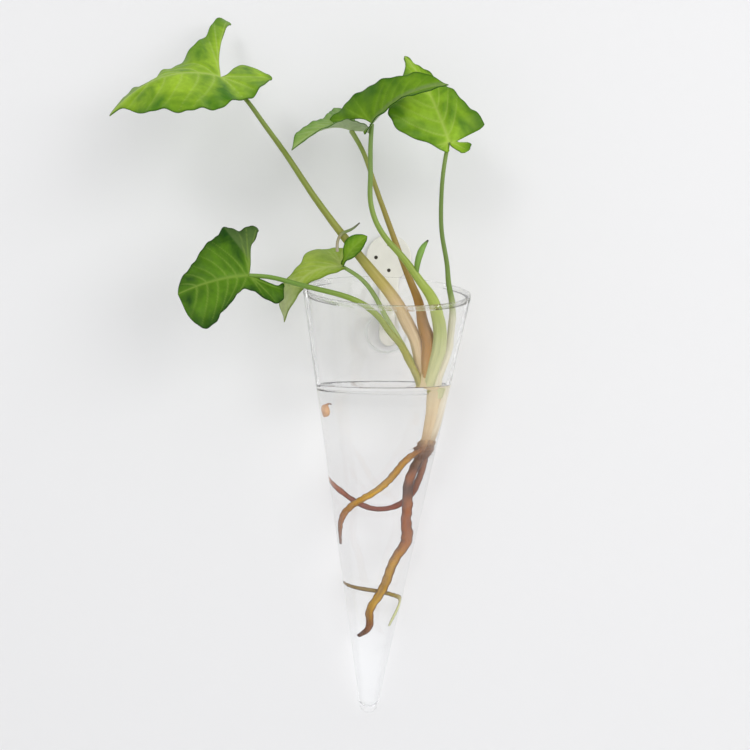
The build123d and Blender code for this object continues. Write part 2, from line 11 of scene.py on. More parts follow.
import bmesh
import bpy
import numpy as np
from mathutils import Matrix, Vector


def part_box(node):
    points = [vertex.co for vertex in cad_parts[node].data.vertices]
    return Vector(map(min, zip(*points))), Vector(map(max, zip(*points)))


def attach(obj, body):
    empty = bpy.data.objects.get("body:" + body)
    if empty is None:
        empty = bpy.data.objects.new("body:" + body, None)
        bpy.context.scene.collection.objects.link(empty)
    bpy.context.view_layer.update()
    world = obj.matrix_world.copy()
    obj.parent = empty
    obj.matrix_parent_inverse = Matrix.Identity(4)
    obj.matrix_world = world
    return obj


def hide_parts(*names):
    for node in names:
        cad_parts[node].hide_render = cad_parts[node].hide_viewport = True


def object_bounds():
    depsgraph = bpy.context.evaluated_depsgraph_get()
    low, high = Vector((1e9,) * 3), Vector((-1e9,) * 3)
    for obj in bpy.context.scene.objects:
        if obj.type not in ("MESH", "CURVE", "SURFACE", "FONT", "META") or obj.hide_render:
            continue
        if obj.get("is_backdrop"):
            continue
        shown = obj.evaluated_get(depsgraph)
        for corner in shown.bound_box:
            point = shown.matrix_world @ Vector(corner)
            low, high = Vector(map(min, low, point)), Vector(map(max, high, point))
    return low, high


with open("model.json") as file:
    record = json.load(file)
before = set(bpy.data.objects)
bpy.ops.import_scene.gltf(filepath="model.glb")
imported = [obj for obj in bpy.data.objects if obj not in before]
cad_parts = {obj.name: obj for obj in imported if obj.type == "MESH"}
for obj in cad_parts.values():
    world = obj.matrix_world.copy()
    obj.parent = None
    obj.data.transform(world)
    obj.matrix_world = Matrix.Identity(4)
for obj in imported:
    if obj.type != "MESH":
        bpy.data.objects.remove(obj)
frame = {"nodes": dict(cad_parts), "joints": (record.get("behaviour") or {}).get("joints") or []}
cad_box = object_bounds()

# %% [markdown]
# ## The view
# The photograph looks almost straight at the wall from 65 cm away, a little from above. A
# lens of 61 mm on a 36 mm sensor gives its framing. The Standard view transform keeps every
# colour as it is written.

# %% Camera and view transform
mm = 0.001
camera_place = (-7.0 * mm, -649.05 * mm, -24.55 * mm)
camera_tilt = radians(86.9)
camera_lens = 61.1
most_bounces = 32

scene = bpy.context.scene
scene.view_settings.view_transform = "Standard"
scene.cycles.max_bounces = most_bounces
scene.cycles.transmission_bounces = most_bounces
scene.cycles.transparent_max_bounces = most_bounces
camera_data = bpy.data.cameras.new("camera")
camera_data.lens = camera_lens
camera = bpy.data.objects.new("camera", camera_data)
camera.location = camera_place
camera.rotation_euler = (camera_tilt, 0, 0)
scene.collection.objects.link(camera)
scene.camera = camera
print("camera", [round(part, 3) for part in camera.location])

# %% [markdown]
# ## Helpers for materials
# A finish is a small tree of nodes. Writing each node as one call, with its inputs given as
# values or as other nodes' sockets, keeps the tree readable from top to bottom. Colours are
# written as they look on a screen and turned into the linear values that shaders want.

# %% Colours and nodes
def paint(red, green, blue):
    """A screen colour, 0 to 255 a channel, as the linear colour of a shader."""
    shares = [part / 255 for part in (red, green, blue)]
    linear = [s / 12.92 if s <= 0.04045 else ((s + 0.055) / 1.055) ** 2.4 for s in shares]
    return (*linear, 1.0)


def painted(*rows):
    """Stops of a ramp, from rows of a place and a screen colour."""
    return [(place, paint(*colour)) for place, *colour in rows]


def grey(level):
    """A neutral colour from its linear level."""
    return (level, level, level, 1.0)


black, white = grey(0.0), grey(1.0)


def add_node(tree, kind, inputs=None, **settings):
    """One node: its settings, then its inputs as values or as sockets to link from."""
    made = tree.nodes.new(kind)
    for key, value in settings.items():
        setattr(made, key, value)
    for key, value in (inputs or {}).items():
        if isinstance(value, bpy.types.NodeSocket):
            tree.links.new(value, made.inputs[key])
        else:
            made.inputs[key].default_value = value
    return made


def new_material(name):
    """An empty material, its node tree and its output node."""
    material = bpy.data.materials.new(name)
    material.use_nodes = True
    tree = material.node_tree
    tree.nodes.clear()
    return material, tree, tree.nodes.new("ShaderNodeOutputMaterial")


def colour_ramp(tree, factor, stops, smooth=False):
    """A ramp through (place, colour) stops, read at a factor; gives the colour socket."""
    ramp = add_node(tree, "ShaderNodeValToRGB", {"Fac": factor})
    ramp.color_ramp.interpolation = "EASE" if smooth else "LINEAR"
    elements = ramp.color_ramp.elements
    while len(elements) < len(stops):
        elements.new(0.5)
    for element, (place, colour) in zip(elements, stops):
        element.position = place
        element.color = colour
    return ramp.outputs["Color"]


def blend_colours(tree, factor, first, second, mode="MIX"):
    """Mixes two colours by a factor; each may be a value or a socket."""
    mix = add_node(tree, "ShaderNodeMix", data_type="RGBA", blend_type=mode)
    sockets = (mix.inputs[0], mix.inputs[6], mix.inputs[7])
    for socket, value in zip(sockets, (factor, first, second)):
        if isinstance(value, bpy.types.NodeSocket):
            tree.links.new(value, socket)
        else:
            socket.default_value = value
    return mix.outputs[2]


def maths(tree, operation, first, second):
    """Two numbers, each a value or a socket, put together by an operation like MULTIPLY."""
    return add_node(tree, "ShaderNodeMath", {0: first, 1: second}, operation=operation).outputs[0]


def mix_shaders(tree, factor, first, second):
    """A node that gives the first shader, and by this factor the second."""
    inputs = {0: factor, 1: first.outputs[0], 2: second.outputs[0]}
    return add_node(tree, "ShaderNodeMixShader", inputs)


def noise(tree, place, scale, detail=3.0, distortion=0.0):
    """Soft random grey between 0 and 1 at a place, with this many cells a metre."""
    inputs = {"Vector": place, "Scale": scale, "Detail": detail, "Distortion": distortion}
    return add_node(tree, "ShaderNodeTexNoise", inputs).outputs["Fac"]


def bump(tree, height, depth, strength=1.0):
    """A bump of this depth in metres from a height between 0 and 1."""
    inputs = {"Height": height, "Distance": depth, "Strength": strength}
    return add_node(tree, "ShaderNodeBump", inputs).outputs["Normal"]


def own_place(tree):
    """The place on the object itself, which stays put when the object moves."""
    return add_node(tree, "ShaderNodeTexCoord").outputs["Object"]


def share_of(tree, attribute):
    """A number that the mesh carries at every point."""
    return add_node(tree, "ShaderNodeAttribute", attribute_name=attribute).outputs["Fac"]


# %% [markdown]
# ## The wall, the floor and the light
# The wall is smooth pale plaster, and it is part of the picture, not of the object. It hides
# nothing from behind: a ray that meets its back passes through. A pale floor lies well below.
# One broad lamp stands to the upper right in front, so that shadows fall softly to the left. A
# small one at the upper left puts highlights on the glass, and the pale world fills the
# shadows. Neither lamp is seen through the glass, where it would show as a white patch.

# %% Wall and floor
wall_half_width = 0.62
wall_top = 0.55
floor_height = -0.45
floor_reach = 1.3
wall_behind = 0.3 * mm
plaster_colour = paint(235, 235, 236)
plaster_grain = 140.0
plaster_depth = 0.1 * mm


def flat_sheet(name, corners, material):
    """One large square of four corners, marked as part of the stage."""
    mesh = bpy.data.meshes.new(name)
    mesh.from_pydata(corners, [], [(0, 1, 2, 3)])
    sheet = bpy.data.objects.new(name, mesh)
    scene.collection.objects.link(sheet)
    mesh.materials.append(material)
    sheet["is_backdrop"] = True


plaster, tree, output = new_material("plaster")
grain = noise(tree, own_place(tree), plaster_grain, 4.0)
surface = add_node(tree, "ShaderNodeBsdfDiffuse", {
    "Color": plaster_colour, "Normal": bump(tree, grain, plaster_depth, 0.35),
})
backfacing = add_node(tree, "ShaderNodeNewGeometry").outputs["Backfacing"]
mixed = mix_shaders(tree, backfacing, surface, add_node(tree, "ShaderNodeBsdfTransparent"))
tree.links.new(mixed.outputs[0], output.inputs["Surface"])

square_ways = ((-1, -1), (1, -1), (1, 1), (-1, 1))
wall_corners = [(x * wall_half_width, wall_behind, wall_top if up > 0 else floor_height)
                for x, up in square_ways]
floor_corners = [(x * floor_reach, y * floor_reach, floor_height) for x, y in square_ways]
flat_sheet("wall", wall_corners, plaster)
flat_sheet("floor", floor_corners, plaster)

# %% Lamps and world
key_place = (1.2, -1.6, 0.5)
key_size = 1.25
key_power = 13.5
side_place = (-0.55, -1.3, 0.75)
side_size = 0.4
side_power = 2.5
lamp_target = (0.0, 0.0, -0.05)
fill_strength = 0.73
backdrop_colour = paint(238, 238, 238)


def area_lamp(name, place, size, power):
    """A square lamp at a place, turned to the vase, and not seen through glass."""
    data = bpy.data.lights.new(name, "AREA")
    data.size = size
    data.energy = power
    lamp = bpy.data.objects.new(name, data)
    lamp.location = place
    direction = Vector(lamp_target) - Vector(place)
    lamp.rotation_euler = direction.to_track_quat("-Z", "Y").to_euler()
    lamp.visible_transmission = False
    scene.collection.objects.link(lamp)


area_lamp("key_lamp", key_place, key_size, key_power)
area_lamp("side_lamp", side_place, side_size, side_power)

world = bpy.data.worlds.new("studio")
scene.world = world
world.use_nodes = True
tree = world.node_tree
tree.nodes.clear()
path = add_node(tree, "ShaderNodeLightPath").outputs
seen = maths(tree, "MAXIMUM", path["Is Camera Ray"], path["Is Glossy Ray"])
seen = maths(tree, "MAXIMUM", seen, path["Is Transmission Ray"])
fill = add_node(tree, "ShaderNodeBackground", {"Color": white, "Strength": fill_strength})
backdrop = add_node(tree, "ShaderNodeBackground", {"Color": backdrop_colour, "Strength": 1.0})
mixed = mix_shaders(tree, seen, fill, backdrop)
add_node(tree, "ShaderNodeOutputWorld", {"Surface": mixed.outputs[0]})
print("lamp power", key_power, "fill", fill_strength)

# %% [markdown]
# ## The cone's own frame
# The glass leans: its axis tilts towards the room and a little to the right. Every piece in
# it is placed by three shares: how far to the side, how far back, and how high up the cone.
# The cutting lifts out along the axis, so that joint gives the direction, and the CAD glass
# gives where the axis runs.

# %% Measure the cone
def unit(vector):
    """The same direction, one long."""
    vector = np.asarray(vector, float)
    return vector / np.linalg.norm(vector, axis=-1, keepdims=True)


def points_of(node_name):
    """The corners of a CAD node's mesh."""
    mesh = frame["nodes"][node_name].data
    flat = np.zeros(len(mesh.vertices) * 3)
    mesh.vertices.foreach_get("co", flat)
    return flat.reshape(-1, 3)


joint_axes = {joint["name"]: joint["axis"] for joint in frame["joints"]}
axis = unit(joint_axes["cutting_lift"])
side = unit(np.array([1.0, 0.0, 0.0]) - axis * axis[0])
back = np.cross(axis, side)
glass_points = points_of("glass_cone")
spans = [(glass_points @ way).min() for way in (side, back, axis)]
tops = [(glass_points @ way).max() for way in (side, back, axis)]
tip = side * (spans[0] + tops[0]) / 2 + back * (spans[1] + tops[1]) / 2 + axis * spans[2]
vase_length = tops[2] - spans[2]
water_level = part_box("water")[1][2]
print("tip", (tip / mm).round(2), "length", round(vase_length / mm, 2),
      "water level", round(water_level / mm, 2))

# %% Sizes of the glass
mouth_radius = 40.0 * mm
glass_wall = 1.8 * mm
foot_radius = 4.7 * mm
well_radius = 3.4 * mm
hole_radius = 9.7 * mm
hole_below_rim = 27.3 * mm
hole_turn = radians(2.0)
foliage_height = 130.0 * mm

axial_reach = vase_length - foot_radius
taper = atan2(mouth_radius, axial_reach) - asin(foot_radius / hypot(mouth_radius, axial_reach))
slope = tan(taper)
apex_radius = mouth_radius - slope * vase_length
well_height = (well_radius * hypot(1, slope) + glass_wall - apex_radius) / slope
mouth_centre = tip + axis * vase_length


def glass_radius(height):
    """Outer radius of the cone at a height along its axis."""
    return apex_radius + slope * height


def outward(angle):
    """The direction away from the axis at an angle: 0 is right, a quarter turn is back."""
    angle = np.asarray(angle)[..., None]
    return side * np.cos(angle) + back * np.sin(angle)


def on_cone(angle, height, depth=0.0):
    """A place on the cone, this deep under its outer face."""
    height = np.asarray(height, float)
    radius = glass_radius(height) - depth
    return tip + axis * height[..., None] + outward(angle) * np.asarray(radius)[..., None]


def in_cone(side_share, back_share, height_share):
    """Place inside the cone: shares of its inner radius there and of its length."""
    height = height_share * vase_length
    reach = glass_radius(height) - glass_wall
    return tip + axis * height + (side * side_share + back * back_share) * reach


def above_mouth(side_share, back_share, up_share):
    """Place outside the cone: shares of the foliage height from the mouth's centre."""
    return mouth_centre + np.array([side_share, back_share, up_share]) * foliage_height


def above_rim(side_share, back_share, up_share):
    """Place beyond the rim's left end: shares of the foliage height from there."""
    rim_left = mouth_centre - side * mouth_radius
    return rim_left + np.array([side_share, back_share, up_share]) * foliage_height


print("taper", round(taper, 4), "radius at the rim", round(glass_radius(vase_length) / mm, 2))

# %% [markdown]
# ## Helpers for meshes
# Most of this object is drawn rather than built from simple solids, so its meshes are made
# from grids of points. NumPy works out all the points of a grid at once, and one function
# turns points and faces into an object that rides on its body, stands for its CAD node and
# takes its finish.

# %% Grids, faces and pieces
weld_distance = 0.002 * mm
strip_name = "strip"


def grid_faces(rows, columns, closed=False):
    """Quads between the rows and columns of a grid; closed joins last column to first."""
    row = np.arange(rows - 1)[:, None]
    column = np.arange(columns if closed else columns - 1)[None, :]
    right = (column + 1) % columns
    corners = (row * columns + column, row * columns + right,
               (row + 1) * columns + right, (row + 1) * columns + column)
    return np.stack([c.ravel() for c in np.broadcast_arrays(*corners)], axis=1)


def join_mesh(name, points, faces, shares=None, corner_uv=None):
    """A smooth mesh of points and faces, with numbers that its points carry."""
    mesh = bpy.data.meshes.new(name)
    mesh.from_pydata(np.asarray(points).tolist(), [], [list(map(int, face)) for face in faces])
    for key, values in (shares or {}).items():
        layer = mesh.attributes.new(key, "FLOAT", "POINT")
        layer.data.foreach_set("value", np.asarray(values, np.float32).ravel())
    if corner_uv is not None:
        layer = mesh.uv_layers.new(name=strip_name)
        layer.data.foreach_set("uv", np.asarray(corner_uv, np.float32).ravel())
    mesh.polygons.foreach_set("use_smooth", [True] * len(mesh.polygons))
    mesh.update()
    return mesh


def place_piece(mesh, body, node_names, slot, *materials):
    """Puts a mesh in the scene: what it rides on, stands for and is made of."""
    piece = bpy.data.objects.new(mesh.name, mesh)
    scene.collection.objects.link(piece)
    for material in materials:
        mesh.materials.append(material)
    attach(piece, body)
    if node_names:
        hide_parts(*node_names)
    print(piece.name, len(mesh.vertices), "points")
    return piece


def tidy_normals(mesh):
    """Turns all faces outward and joins points that lie together."""
    work = bmesh.new()
    work.from_mesh(mesh)
    bmesh.ops.remove_doubles(work, verts=work.verts, dist=weld_distance)
    bmesh.ops.recalc_face_normals(work, faces=work.faces)
    work.to_mesh(mesh)
    work.free()
    mesh.update()
    return mesh


# %% Smooth curves through a few values
def smooth_value(knots, values, at):
    """Values drawn smoothly through knots, never beyond them between two of them."""
    knots, values = np.asarray(knots, float), np.asarray(values, float)
    steps = np.diff(knots)
    grades = np.diff(values) / steps
    slopes = np.zeros(len(knots))
    slopes[0], slopes[-1] = grades[0], grades[-1]
    same_way = grades[:-1] * grades[1:] > 0
    total = np.where(same_way, grades[:-1] + grades[1:], 1.0)
    slopes[1:-1] = np.where(same_way, 2 * grades[:-1] * grades[1:] / total, 0.0)
    at = np.clip(np.asarray(at, float), knots[0], knots[-1])
    part = np.clip(np.searchsorted(knots, at, side="right") - 1, 0, len(steps) - 1)
    step = steps[part]
    share = (at - knots[part]) / step
    rise = values[part + 1] - values[part]
    bend_in = slopes[part] * step - rise
    bend_out = rise - slopes[part + 1] * step
    return (values[part] + rise * share
            + share * (1 - share) * (bend_in * (1 - share) + bend_out * share))


def smooth_line(places, spacing):
    """Even places along a natural spline through a few, and where on the knots each is."""
    places = np.asarray(places, float)
    knots = np.concatenate([[0], np.cumsum(np.linalg.norm(np.diff(places, axis=0), axis=1))])
    steps = np.diff(knots)
    grades = np.diff(places, axis=0) / steps[:, None]
    count = len(knots)
    system = np.eye(count)
    target = np.zeros((count, 3))
    for k in range(1, count - 1):
        system[k, k - 1:k + 2] = steps[k - 1], 2 * (steps[k - 1] + steps[k]), steps[k]
        target[k] = 6 * (grades[k] - grades[k - 1])
    bends = np.linalg.solve(system, target)
    at = np.linspace(0, knots[-1], max(8, int(knots[-1] / spacing)))
    part = np.clip(np.searchsorted(knots, at, side="right") - 1, 0, count - 2)
    step, before = steps[part][:, None], (at - knots[part])[:, None]
    after = step - before
    line = (bends[part] * after**3 + bends[part + 1] * before**3) / (6 * step)
    line += (places[part] / step - bends[part] * step / 6) * after
    line += (places[part + 1] / step - bends[part + 1] * step / 6) * before
    return line, at, knots


# %% [markdown]
# ## The glass cone
# Real glass has two faces, and light bends at both, so the cone is modelled as the thin wall
# that it is, with a fire-polished rim and a solid foot. A boolean cut for the hanging hole
# would leave ragged shading that glass shows at once. Instead the grid of each face leaves
# out a square round the hole, and rings of quads lead from that square to a round, fused lip.

# %% The grid of the cone's faces
around_count = 240
hole_height = vase_length - hole_below_rim
hole_angle = pi / 2 - hole_turn
patch_reach = 15.0 * mm
row_spacing = 0.95 * mm
lip_half = 0.98 * mm
lip_reach = 1.3 * mm
half_wall = glass_wall / 2

angles = np.arange(around_count) * 2 * pi / around_count
low_row = hole_height - round((hole_height - well_height) / row_spacing) * row_spacing
face_heights = np.append(np.arange(low_row, vase_length - 1.4 * mm, row_spacing),
                         vase_length - half_wall)
patch_turn = patch_reach / glass_radius(hole_height)
patch_columns = np.flatnonzero(np.abs(angles - hole_angle) <= patch_turn)
patch_rows = np.flatnonzero(np.abs(face_heights - hole_height) <= patch_reach)
first_column, last_column = patch_columns[0], patch_columns[-1]
first_row, last_row = patch_rows[0], patch_rows[-1]


def patch_border():
    """The grid points round the square, as (row, column), in turn anticlockwise."""
    low = [(first_row, column) for column in range(first_column, last_column)]
    up = [(row, last_column) for row in range(first_row, last_row)]
    top = [(last_row, column) for column in range(last_column, first_column, -1)]
    down = [(row, first_column) for row in range(last_row, first_row, -1)]
    return np.array(low + up + top + down)


border = patch_border()
hole_middle = on_cone(np.array(hole_angle), np.array(hole_height), half_wall)
hole_out = unit(outward(np.array(hole_angle)) * cos(taper) - axis * sin(taper))
hole_up = unit(axis - hole_out * (axis @ hole_out))
hole_left = np.cross(hole_up, hole_out)
border_places = on_cone(angles[border[:, 1]], face_heights[border[:, 0]], half_wall)
border_turns = np.arctan2((border_places - hole_middle) @ hole_up,
                          (border_places - hole_middle) @ hole_left)


def surface_share(place):
    """Angle and height on the cone of a place near it."""
    from_tip = place - tip
    height = from_tip @ axis
    return np.arctan2(from_tip @ back, from_tip @ side), height


def lip_ring(radius):
    """Angle and height of the points on the cone this far from the hole's own axis."""
    ways = (hole_left[None] * np.cos(border_turns)[:, None]
            + hole_up[None] * np.sin(border_turns)[:, None])
    place = hole_middle + ways * radius
    for _ in range(6):
        angle, height = surface_share(place)
        gap = glass_radius(height) - half_wall - np.linalg.norm(
            place - tip - axis * height[:, None], axis=1)
        place = place + hole_out * gap[:, None] * 1.1
    return surface_share(place)


# %% Rings from the square to the lip, and round the lip to the other face
ring_count = 9
lip_steps = 10
lip_middle = hole_radius + lip_half
outer_ring = lip_ring(lip_middle + lip_reach)
square = (angles[border[:, 1]], face_heights[border[:, 0]])
slope_shares = (0.8, 0.6, 0.4, 0.2)
lip_profile = [(lip_middle + lip_reach * share,
                half_wall + (lip_half - half_wall) * (1 - share) ** 2 * (1 + 2 * share))
               for share in slope_shares]
lip_turns = np.linspace(0, pi, lip_steps + 1)
lip_profile += [(lip_middle - lip_half * sin(turn), lip_half * cos(turn)) for turn in lip_turns]
lip_profile += [(radius, -rise) for radius, rise in reversed(lip_profile[:len(slope_shares)])]


def wall_place(angle, height, rise):
    """A place this far outside the middle of the wall."""
    return on_cone(angle, height, half_wall - rise)


def patch_rings():
    """Rings of points across the square on the outer face, round the lip, and back inside."""
    rings = []
    for share in np.linspace(0, 1, ring_count)[1:]:
        angle = square[0] + (outer_ring[0] - square[0]) * share
        height = square[1] + (outer_ring[1] - square[1]) * share
        rings.append((angle, height))
    outer = [wall_place(angle, height, half_wall) for angle, height in rings]
    lip = [wall_place(*lip_ring(radius), rise) for radius, rise in lip_profile]
    inner = [wall_place(angle, height, -half_wall) for angle, height in reversed(rings)]
    return outer + lip + inner


hole_rings = patch_rings()
print("rings across the hole", len(hole_rings), "of", len(border), "points")

# %% The rim, the foot and the whole glass
rim_bead = 0.98 * mm
rim_steps = 10
foot_steps = 14

rows, columns = len(face_heights), around_count
points, faces = [], []


def add_points(block):
    """Adds points to the glass and gives the number of the first."""
    start = sum(len(earlier) for earlier in points)
    points.append(np.asarray(block).reshape(-1, 3))
    return start


full_grid = (angles[None, :].repeat(rows, 0), face_heights[:, None].repeat(columns, 1))
outer_start = add_points(on_cone(*full_grid))
inner_start = add_points(on_cone(*full_grid, glass_wall))
quads = grid_faces(rows, columns, closed=True)
quad_row, quad_column = quads[:, 0] // columns, quads[:, 0] % columns
in_patch = ((quad_row >= first_row) & (quad_row < last_row)
            & (quad_column >= first_column) & (quad_column < last_column))
faces += (quads[~in_patch] + outer_start).tolist()
faces += (quads[~in_patch] + inner_start).tolist()

ring_start = add_points(np.concatenate(hole_rings))
ring_ids = [ring_start + k * len(border) + np.arange(len(border)) for k in range(len(hole_rings))]
border_ids = border[:, 0] * columns + border[:, 1]
loops = [border_ids + outer_start] + ring_ids + [border_ids + inner_start]

rim_circle = []
for turn in np.linspace(0, pi, rim_steps + 1)[1:-1]:
    height = vase_length - half_wall + half_wall * sin(turn)
    radius_in = half_wall - rim_bead * cos(turn)
    rim_circle.append(on_cone(angles, np.full(columns, height), radius_in))
rim_start = add_points(np.concatenate(rim_circle))
top_row = (rows - 1) * columns + np.arange(columns)
loops_rim = [top_row + outer_start]
loops_rim += [rim_start + k * columns + np.arange(columns) for k in range(len(rim_circle))]
loops_rim += [top_row + inner_start]


def round_end(radius, middle):
    """Rings of a ball's lower half, from the cone down to the point on the axis."""
    rings = []
    for turn in np.linspace(taper, pi / 2, foot_steps + 1)[1:-1]:
        place = middle - radius * sin(turn)
        rings.append(tip + axis * place + outward(angles) * radius * cos(turn))
    return rings


lower_heights = np.arange(foot_radius * (1 - sin(taper)), low_row, row_spacing * 1.4)[::-1]
outer_lower = [on_cone(angles, np.full(columns, height)) for height in lower_heights]
outer_lower += round_end(foot_radius, foot_radius)
inner_lower = round_end(well_radius, well_height)
loops_feet = []
for start, rings, bottom in ((outer_start, outer_lower, 0.0),
                             (inner_start, inner_lower, well_height - well_radius)):
    ring_from = add_points(np.concatenate(rings))
    loops_feet.append([np.arange(columns) + start]
                      + [ring_from + k * columns + np.arange(columns) for k in range(len(rings))])
    pole = add_points(tip + axis * bottom)
    faces += [(pole, a, b) for a, b in zip(loops_feet[-1][-1], np.roll(loops_feet[-1][-1], -1))]

for chain in (loops, loops_rim, *loops_feet):
    for first, second in zip(chain, chain[1:]):
        quad = np.stack([first, np.roll(first, -1), np.roll(second, -1), second], axis=1)
        faces += quad.tolist()
glass_mesh = tidy_normals(join_mesh("glass_cone_clear", np.concatenate(points), faces))

# %% [markdown]
# ## Clear glass and water
# Both are a refracting surface with nothing painted on it. Blown glass has faint ripples
# drawn out along its length, which shows as soft streaks, so a little stretched bump goes on
# it. Rays that look for a lamp go straight, and glass would stop them. So for those rays, and
# for the ones that a dull surface sends out, the glass is a nearly clear filter: the wall and
# the plant get their light once, and the wall still gets a pale grey shadow.

# %% Glass and water materials
gathering = 1.04  # a round glass gathers light behind its middle and takes it from its edges
soft_reflection = grey(0.45)  # the room in front is dimmer than the pale backdrop
ripple_stretch = (1.0, 1.0, 0.07)
edge_on = 0.98
glass_index = 1.5
water_index = 1.333


def clear_material(name, tint, index, ripple_depth, ripple_scale, shade_from, edge_shadow, leak):
    """A clear refracting finish with drawn-out ripples and a shadow at its edges, where it
    is seen more edge-on than shade_from. The leak is the share of light that isn't bent."""
    material, tree, output = new_material(name)
    place = add_node(tree, "ShaderNodeMapping", {
        "Vector": own_place(tree), "Scale": ripple_stretch,
    }).outputs["Vector"]
    surface = add_node(tree, "ShaderNodeBsdfPrincipled", {
        "Base Color": tint, "Roughness": 0.0, "IOR": index, "Transmission Weight": 1.0,
        "Specular Tint": soft_reflection,
        "Normal": bump(tree, noise(tree, place, ripple_scale, 2.0), ripple_depth),
    })
    facing = add_node(tree, "ShaderNodeLayerWeight", {"Blend": 0.5}).outputs["Facing"]
    shade = colour_ramp(tree, facing, [(shade_from, white), (edge_on, edge_shadow)], smooth=True)
    gathered = blend_colours(tree, 1.0, shade, grey(gathering), "MULTIPLY")
    straight_filter = add_node(tree, "ShaderNodeBsdfTransparent", {"Color": gathered})
    path = add_node(tree, "ShaderNodeLightPath").outputs
    goes_straight = maths(tree, "MAXIMUM", path["Is Shadow Ray"], path["Is Diffuse Ray"])
    body = mix_shaders(tree, leak, surface, add_node(tree, "ShaderNodeBsdfTransparent"))
    mixed = mix_shaders(tree, goes_straight, body, straight_filter)
    tree.links.new(mixed.outputs[0], output.inputs["Surface"])
    return material


blown = {"tint": white, "index": glass_index, "ripple_depth": 0.1 * mm, "ripple_scale": 70.0,
         "shade_from": 0.82}
clear_glass = clear_material("clear_glass", **blown, edge_shadow=(0.25, 0.26, 0.27, 1.0),
                             leak=0.03)
still_water = clear_material("still_water", (0.99, 0.997, 1.0, 1.0), water_index,
                             ripple_depth=0.004 * mm, ripple_scale=90.0, shade_from=0.5,
                             edge_shadow=(0.3, 0.31, 0.33, 1.0), leak=0.0)
# The rim curves so tightly that bent light alone would draw it as dark lines, so more of the
# light goes straight through it
rim_glass = clear_material("rim_glass", **blown, edge_shadow=(0.6, 0.61, 0.62, 1.0), leak=0.62)

# %% The ground edge of the hole and the faces of the rim
# The drilled hole's lip is ground and only half polished, so it scatters light and shows white
ground_edge, tree, output = new_material("ground_edge")
surface = add_node(tree, "ShaderNodeBsdfPrincipled", {
    "Base Color": paint(238, 240, 240), "Roughness": 0.35, "IOR": glass_index,
    "Transmission Weight": 0.6,
    "Normal": bump(tree, noise(tree, own_place(tree), 2400.0, 2.0), 0.05 * mm),
})
tree.links.new(surface.outputs[0], output.inputs["Surface"])
ground_reach = lip_middle + 0.45 * lip_half
rim_reach = vase_length - 1.2 * glass_wall
for face in glass_mesh.polygons:
    centre = np.array(face.center)
    from_hole = centre - hole_middle
    across_hole = from_hole - hole_out * (from_hole @ hole_out)
    near_hole = abs(from_hole @ hole_out) < 3 * glass_wall
    if near_hole and np.linalg.norm(across_hole) < ground_reach:
        face.material_index = 1
    if (centre - tip) @ axis > rim_reach:
        face.material_index = 2
place_piece(glass_mesh, "vase", ["glass_cone"], "clear_glass", clear_glass, ground_edge, rim_glass)

# %% [markdown]
# ## The water
# The water touches the glass all round. If both surfaces lay in one place, rays would miss
# one of them, and a gap would shine like a mirror, so the water reaches a hair into the
# glass. Its level top climbs the wall in a small meniscus, higher in front than at the back,
# and that curved edge makes the dark line that shows where the water ends.

# %% Water with a meniscus
wall_overlap = 0.12 * mm
meniscus_height = 0.85 * mm
meniscus_back_share = 0.35
meniscus_reach = 1.3 * mm
water_around = 192
water_rows = 90
water_wall = glass_wall - wall_overlap
water_angles = np.arange(water_around) * 2 * pi / water_around
water_well = well_radius + wall_overlap
fall_off = 1.9


def wall_at_level(level):
    """Where the inner wall meets a level plane, at every angle: height along the axis."""
    heights = np.full(water_around, vase_length * 0.75)
    for _ in range(8):
        gap = on_cone(water_angles, heights, water_wall)[:, 2] - level
        heights = heights - gap / axis[2]
    return heights


to_back = (1 + np.sin(water_angles)) / 2
climb = meniscus_height * (1 - (1 - meniscus_back_share) * to_back)
brim_heights = wall_at_level(water_level + climb)
brim = on_cone(water_angles, brim_heights, water_wall)
level_middle = np.append((tip + axis * ((water_level - tip[2]) / axis[2]))[:2], water_level)
inward = level_middle - brim
inward[:, 2] = 0
reach = np.linalg.norm(inward, axis=1, keepdims=True)
inward = inward / reach
top_rings = []
near_wall = np.linspace(0, 2.2, 12)[1:] * meniscus_reach
far_from_wall = np.linspace(0.25, 0.98, 9) * reach.min()
surface_distances = np.concatenate([near_wall, far_from_wall])
for distance in surface_distances:
    ring = brim + inward * distance
    ring[:, 2] = water_level + climb * np.exp(-(distance / meniscus_reach) * fall_off)
    top_rings.append(ring)
side_rings = []
pool_low = well_height - water_well * sin(taper)
for share in np.linspace(1, 0, water_rows)[1:]:
    heights = pool_low + (brim_heights - pool_low) * share
    side_rings.append(on_cone(water_angles, heights, water_wall))
for turn in np.linspace(taper, pi / 2, 10)[1:-1]:
    place = tip + axis * (well_height - water_well * sin(turn))
    side_rings.append(place + outward(water_angles) * (water_well * cos(turn)))
pool_bottom = tip + axis * (well_height - well_radius - wall_overlap)
rings = top_rings[::-1] + [brim] + side_rings
water_points = np.concatenate([level_middle[None]] + rings + [pool_bottom[None]])
water_faces = (grid_faces(len(rings), water_around, closed=True) + 1).tolist()
last = len(water_points) - 1
for k in range(water_around):
    after = (k + 1) % water_around
    water_faces.append((0, 1 + k, 1 + after))
    water_faces.append((last, last - water_around + k, last - water_around + after))
water_mesh = tidy_normals(join_mesh("water_still", water_points, water_faces))
place_piece(water_mesh, "vase", ["water"], "water", still_water)

# %% [markdown]
# ## The hook and its pins
# These two are hard, plain moulded and turned parts, and their CAD shapes are right as they
# are. They stay, and only get a finish: a slightly milky off-white plastic with a faint
# mould texture, and dark steel with fine turning marks.

# %% Plastic and steel
patch_share = 0.15


